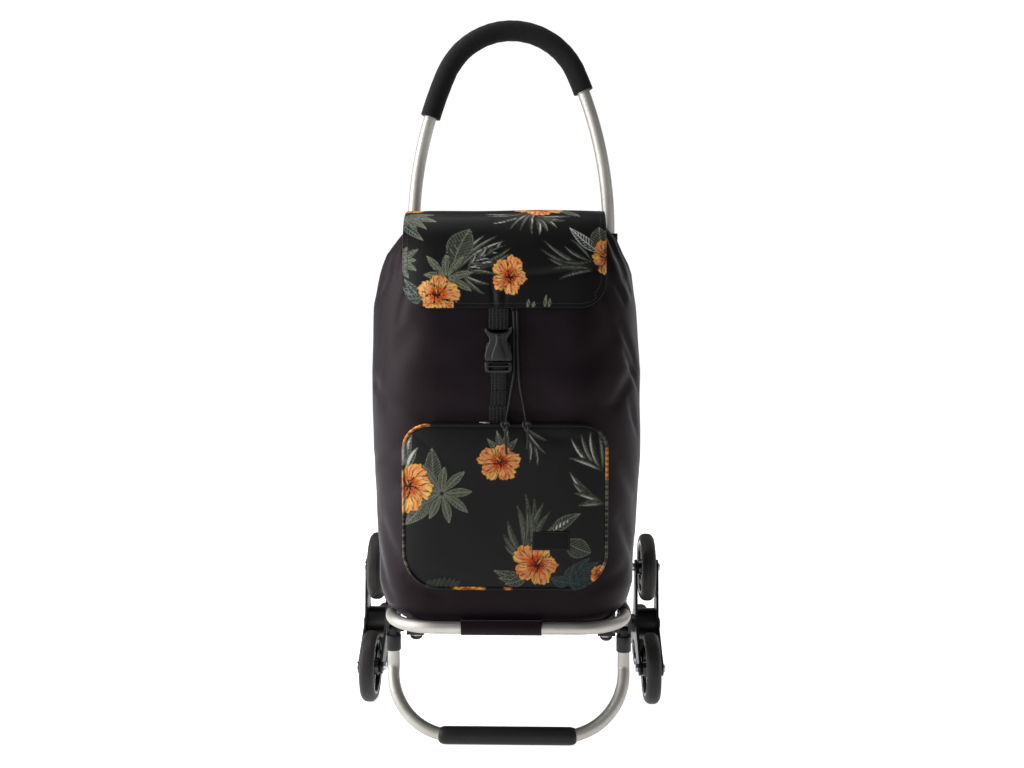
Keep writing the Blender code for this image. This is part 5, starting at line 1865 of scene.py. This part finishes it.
# %% [markdown]
# ## Drawstrings
#
# A 3 mm braided cord gathers the bag's mouth. Its two ends come out under the flap's hem, hang
# down past the buckle and end in overhand knots over the top of the pocket. A curve with a bevel
# would do for the cord, but a rolled grid also carries the braid along its length. The knot is
# a closed curve of three crossings, pulled tight.

# %% Tunnels that carry the two cords from the mouth's hem to where they come out
TUNNEL_LINE = (
    (-0.1520, 0.7000), (-0.1580, 0.6940), (-0.1755, 0.6740), (-0.1890, 0.6525), (-0.1975, 0.6340),
    (-0.2045, 0.6103), (-0.2086, 0.5900), (-0.2112, 0.5755),
)
tunnels = []
for x in (0.0080, 0.0128):
    route = smooth_route([(x, y, z) for y, z in TUNNEL_LINE], 8)
    tunnels.append(tube_along(route, 0.0023, 12))
tunnel = join(*tunnels)
sew(tunnel, "drawstring_tunnels", SATIN)
print(len(tunnels), "tunnels")

# %% Cords and knots
DRAWSTRINGS = {
    "left": (
        (0.0085, -0.2125, 0.5740), (0.0092, -0.2160, 0.5500), (0.0090, -0.2192, 0.5150),
        (0.0087, -0.2203, 0.4950), (0.0050, -0.2208, 0.4700), (0.0010, -0.2220, 0.4460),
        (-0.0010, -0.2395, 0.4300), (-0.0012, -0.2412, 0.4150), (0.0002, -0.2410, 0.3950),
    ),
    "right": (
        (0.0128, -0.2125, 0.5740), (0.0134, -0.2160, 0.5500), (0.0140, -0.2195, 0.5150),
        (0.0165, -0.2205, 0.4800), (0.0220, -0.2215, 0.4500), (0.0255, -0.2395, 0.4300),
        (0.0270, -0.2412, 0.4150), (0.0262, -0.2410, 0.4020),
    ),
}
CORD_RADIUS = 0.0015
for side, route in DRAWSTRINGS.items():
    line = np.array(smooth_route(route, 10))
    cord_piece = tube_along(line, CORD_RADIUS, 14)
    knot_at = np.array(route[-3]) + (0, -0.0006, 0.0006)
    t = np.linspace(0, 2 * math.pi, 72, endpoint=False)
    loop_x = np.sin(t) + 2 * np.sin(2 * t)
    loop_y = np.cos(t) - 2 * np.cos(2 * t)
    loop_z = 0.0014 * np.sin(3 * t) - 0.0012
    coil = np.stack([0.00150 * loop_x, loop_z, 0.0020 * loop_y], 1) + knot_at
    knot = tube_along(coil, 0.0020, 12, closed=True)
    sew(cord_piece, f"drawstring_{side}_braid", CORD, replaced=[f"drawstring_{side}"])
    sew(knot, f"drawstring_{side}_knot", CORD)

# %% [markdown]
# ## The platform's strap
#
# A band of satin is sewn to the bag's base and wrapped round the front of the platform loop, so
# that the bag can't slide off it. A ring of cloth would look much the same from the front, but
# the band starts at the bag, so it is a strip that follows the tube round.

# %% Wrapped band
BAND_X, BAND_HALF, WRAP_RADIUS = BAG_X - 0.003, 0.052, 0.0090
band_x0, band_x1 = BAND_X - BAND_HALF, BAND_X + BAND_HALF
wrap_turns = np.radians(np.linspace(-24, 290, 44))
wrap = [(-WRAP_RADIUS * math.sin(t), WRAP_RADIUS * math.cos(t)) for t in wrap_turns]
band_line = [(PLATFORM_FRONT + dy, PLATFORM_Z + dz) for dy, dz in wrap]
band_line = [(-0.2105, 0.1735), (-0.2160, 0.1752)] + band_line


def band_shape(a, b):
    """The band, from the bag's base over the tube and round it."""
    line = np.array(band_line)
    at = np.r_[0, np.cumsum(np.linalg.norm(np.diff(line, axis=0), axis=1))]
    y, z = (np.interp(b * at[-1], at, line[:, k]) for k in (0, 1))
    x = band_x0 + (band_x1 - band_x0) * a + 0.0006 * np.sin(9 * b) * (2 * a - 1)
    return np.stack([x, y, z], 1)


band, _, _ = cloth_grid(60, 80, band_shape, (band_x1 - band_x0, 0.06))
modify(band, "SOLIDIFY", thickness=0.0007, offset=0)
settle(band, "platform_band", "platform", SATIN, ["platform_strap"], smooth=60)
print("band", round((band_x1 - band_x0) * 1000), "mm wide")

# %% [markdown]
# ## The bag's pieces
#
# When the platform folds up, the real bag is pressed flat against the uprights. A fold could be
# simulated for each pose, but here nothing is flattened: each of the bag's pieces only gets a mesh
# of its own.

# %% Give each of the bag's pieces a mesh of its own
for piece in BAG_PIECES:
    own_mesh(piece)
print(len(BAG_PIECES), "pieces fold flat with the platform")
